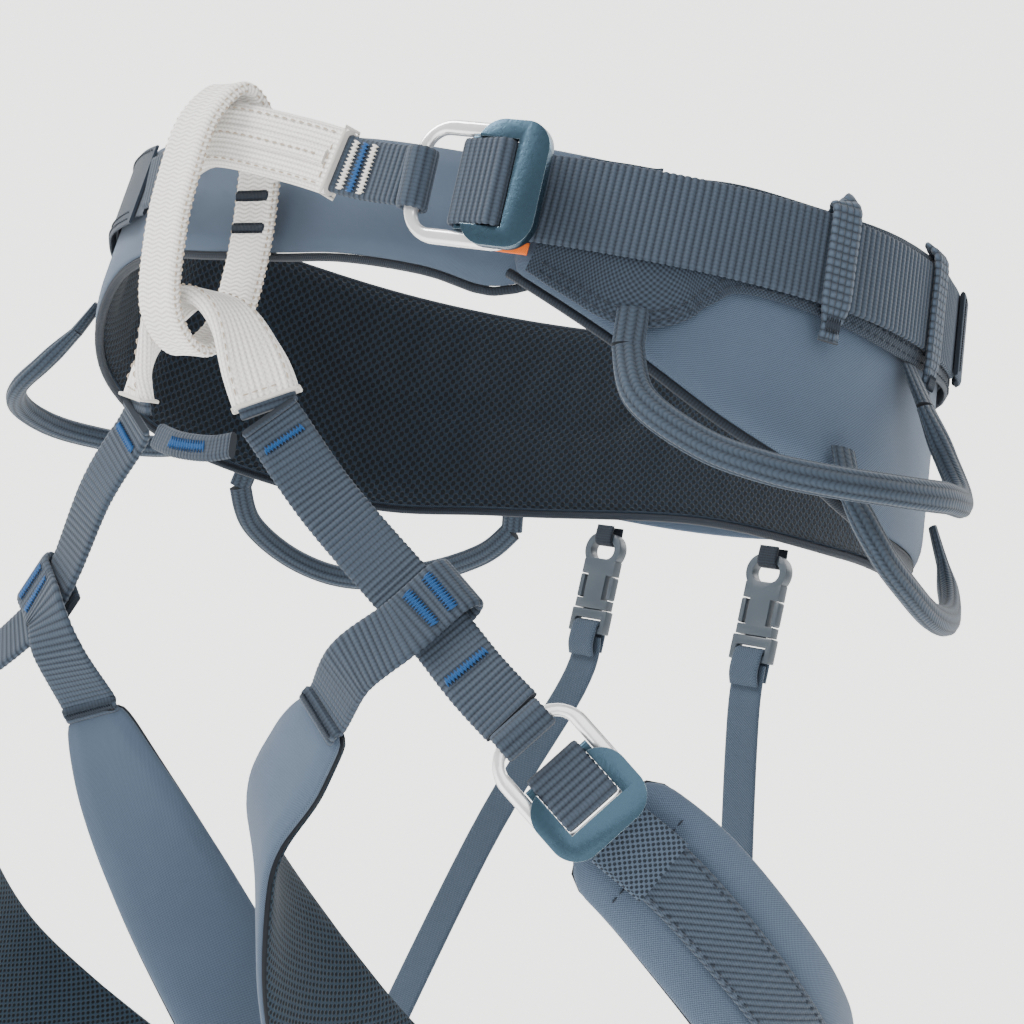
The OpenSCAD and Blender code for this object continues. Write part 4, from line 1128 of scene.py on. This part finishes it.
def leg_straps(side):
    rows, body = sided(PADS[side], side), side + "_leg"
    path = Path(outer_end(rows, *STRAP_PLACES, STRAP_LIFT, LEG_WIDTH), 0.7)
    band(side + "_leg_webbing", path, 1.8, M["twill"], body, side + "_leg_strap", rib=(2.8, 0.12),
         points=12)
    lines = path_dashes(path, 7.4, 0.95) + path_dashes(path, -7.4, 0.95)
    lines.append(zigzag(path, 1.5, 3.5, -7, 7, 0.95, 14))
    merged_tubes(side + "_leg_webbing_stitching", lines, 0.28, body)
    path = Path(outer_end(rows, *KNIT_PLACES, COVER_LIFT, LEG_WIDTH + 2), 1.0)
    cover = band(side + "_leg_knit_sleeve", path, 1.2, M["knit"], body, side + "_leg_knit_cover",
                 points=14, crown=0.2)
    path = Path(outer_end(rows, *REAR_PLACES, SHELL_THICKNESS / 2 + 1.1, REAR_COVER_WIDTH), 2.0)
    cover = band(side + "_leg_rear_patch", path, 1.0, M["shell"], body, side + "_leg_rear_cover",
                 points=18)
    lines = path_dashes(path, 18.6, 0.6) + path_dashes(path, -18.6, 0.6)
    for end in (2.0, path.length - 2.0):
        lines += cross_dashes(path, end, 18, 0.6)
    merged_tubes(side + "_leg_rear_stitching", lines, 0.28, body)


def leg_front(side):
    body = side + "_leg"
    place = buckle(side, LEG_WIDTH, side + "_leg_buckle", body, side + "_leg_buckle_plate")
    rows = sided(RISERS[side], side)
    top = rows[0].copy()
    top[:3] += unit(rows[0, :3] - rows[1, :3]) * 4.5 + unit(rows[0, 3:6]) * 2.4
    riser = Path(smooth(np.vstack([top, rows]), 8), 0.5)
    ribbed(side + "_riser_strap", riser, 2.4, body, side + "_riser", 0.32)
    loop = Path(loop_rows(side, (place, place), BAR_LOOP_RADIUS, LEG_WIDTH - 2), 0.4, True)
    ribbed(side + "_riser_bar_loop", loop, WEBBING_THICKNESS, body)
    rows = sided(band_rows(BAND_STARTS[side], RISERS[side]), side)
    along, face = unit(rows[0, :3] - rows[1, :3]), unit(rows[0, 3:6])
    sewn = [rows[0].copy() for _ in range(2)]
    for row, back, lift in zip(sewn, (7, 2.5), (2.9, 2.6)):
        row[:3] += along * back + face * lift
    fold = Path(smooth(np.vstack([sewn, rows]), 6), 0.5)
    ribbed(side + "_front_band", fold, 2.2, body, side + "_leg_front_band", 0.28)
    blue, dark = [], []
    end = riser.length
    blue.append(zigzag(riser, 8, 10.4, -6.5, 6.5, 1.45, 12))
    blue.append(zigzag(riser, end - 22, end - 19, -7, 7, 1.45, 13))
    over = fold.length - 40
    for k in (0, 1):
        blue.append(zigzag(fold, over + k * 7, over + k * 7 + 3, -6.5, 6.5, 1.35, 13))
    dark.append(zigzag(fold, 2.0, 3.6, -8, 8, 1.3, 20))
    merged_tubes(side + "_leg_blue_bartacks", blue, 0.36, body, M["blue_thread"])
    merged_tubes(side + "_leg_dark_bartacks", dark, 0.34, body)


# ---- rear clips and elastics ----
CLIP_X, CLIP_Y, ELASTIC_TOP = 40, 129.5, -102.5


def rear(side):
    mid, low = ELASTIC_ENDS[side]
    rows = [(CLIP_X, CLIP_Y, ELASTIC_TOP, 0, 1, 0, 14), (CLIP_X + 2, CLIP_Y, ELASTIC_TOP - 20, 0, 1, 0, 14),
            (*mid, 0, 1, 0.1, 14), (*low, 0.1, 1, 0.1, 14)]
    path = Path(smooth(sided(rows, side), 8), 1.0)
    obj = band(side + "_elastic_strap", path, 1.6, M["elastic"], None, side + "_elastic",
               points=12, grooves=(2.3, 0.12))
    side + "_leg"
    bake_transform(obj)
    turns = [(2.9, -108, 1), (2.9, -101, 1), (2.2, -98, 0.6), (0, -96.8, 0), (-2.2, -98, -0.6),
             (-2.9, -101, -1), (-2.9, -106, -1), (-1.2, -110, -1)]
    rows = [(CLIP_X, CLIP_Y + y, z, 0, n, 0.5 * (1 - abs(n)), 12.6) for y, z, n in turns]
    band(side + "_elastic_fold", Path(smooth(sided(rows, side), 5), 0.8), 1.3, M["elastic"], "belt", None,
         points=8)
    turns = [(-2.7, -59.6, -1, 0), (-2.7, -65.6, -1, 0), (0, -66.9, 0, -1), (2.7, -65.6, 1, 0),
             (2.7, -59.6, 1, 0)]
    rows = [(CLIP_X, CLIP_Y + y, z, 0, n, m, 8.4) for y, z, n, m in turns]
    band(side + "_clip_tab_strap", Path(smooth(sided(rows, side), 5), 0.8), 1.0, M["piping"], "belt",
         side + "_clip_tab", points=8)
    for part in ("socket", "plug"):
        refined(f"{side}_clip_{part}", M["clip"], 0.5, 2, "belt")
    for latch in ("inner", "outer"):
        node = f"{side}_clip_{latch}_latch"
        refined(node, M["clip"], 0.35, 2, node)


# ---- the stage ----
def stage():
    """A pale sweep of floor and wall, far behind and below, and soft light from above."""
    away = Matrix.Rotation(CAMERA_AZIMUTH, 4, "Z")
    floor, bend_start, bend = -1.7, 1.5, 1.6
    profile = [(-6.0, floor), (bend_start, floor)]
    profile += [(bend_start + bend * math.sin(a), floor + bend * (1 - math.cos(a)))
                for a in np.linspace(0.1, math.pi / 2, 14)]
    profile += [(bend_start + bend, 6.0)]
    verts = [(x, y, z) for y, z in profile for x in (-9, 9)]
    faces = [(2 * i, 2 * i + 1, 2 * i + 3, 2 * i + 2) for i in range(len(profile) - 1)]
    mesh = bpy.data.meshes.new("backdrop")
    mesh.from_pydata(verts, [], faces)
    mesh.transform(away)
    for f in mesh.polygons:
        f.use_smooth = True
    material, _, shader = new_material("pale_paper")
    shader.inputs["Base Color"].default_value = (0.83, 0.83, 0.82, 1)
    shader.inputs["Roughness"].default_value = 1.0
    shader.inputs["Emission Color"].default_value = (1, 1, 0.985, 1)
    shader.inputs["Emission Strength"].default_value = 1.5
    mesh.materials.append(material)
    backdrop = bpy.data.objects.new("backdrop", mesh)
    bpy.context.scene.collection.objects.link(backdrop)
    lamps = (("key", (-0.9, -1.3, 1.3), 1.3, 66), ("fill", (1.6, -0.9, 0.4), 1.6, 14),
             ("rim", (0.6, 1.5, 1.2), 1.2, 18), ("low", (0.3, -1.2, -1.1), 1.4, 5))
    for name, place, size, power in lamps:
        data = bpy.data.lights.new(name, "AREA")
        data.shape = "DISK"
        data.size = size
        data.energy = power
        lamp = bpy.data.objects.new(name, data)
        lamp.location = place
        lamp.rotation_mode = "QUATERNION"
        aim = Vector((0.03, -0.03, -0.13)) - Vector(place)
        lamp.rotation_quaternion = aim.to_track_quat("-Z", "Y")
        bpy.context.scene.collection.objects.link(lamp)
    world = bpy.data.worlds.new("studio")
    world.use_nodes = True
    world.node_tree.nodes["Background"].inputs["Color"].default_value = (1, 1, 0.99, 1)
    world.node_tree.nodes["Background"].inputs["Strength"].default_value = 0.85
    bpy.context.scene.world = world


belt_shell()
belt_liner()
belt_details()
waist_strap()
bar = buckle("waist", WAIST_WIDTH, "waist_buckle", "belt", "waist_buckle_plate")
bar_path = Path(loop_rows("waist", (bar, bar), BAR_LOOP_RADIUS, TIE_IN_WIDTH), 0.4, True)
ribbed("tie_in_loop", bar_path, WEBBING_THICKNESS, "belt", "tie_in_bar_loop", points=10)
tie_ins()
belay_loop()
gear_loops()
for leg in ("left", "right"):
    leg_pads(leg)
    leg_straps(leg)
    leg_front(leg)
    rear(leg)
stage()
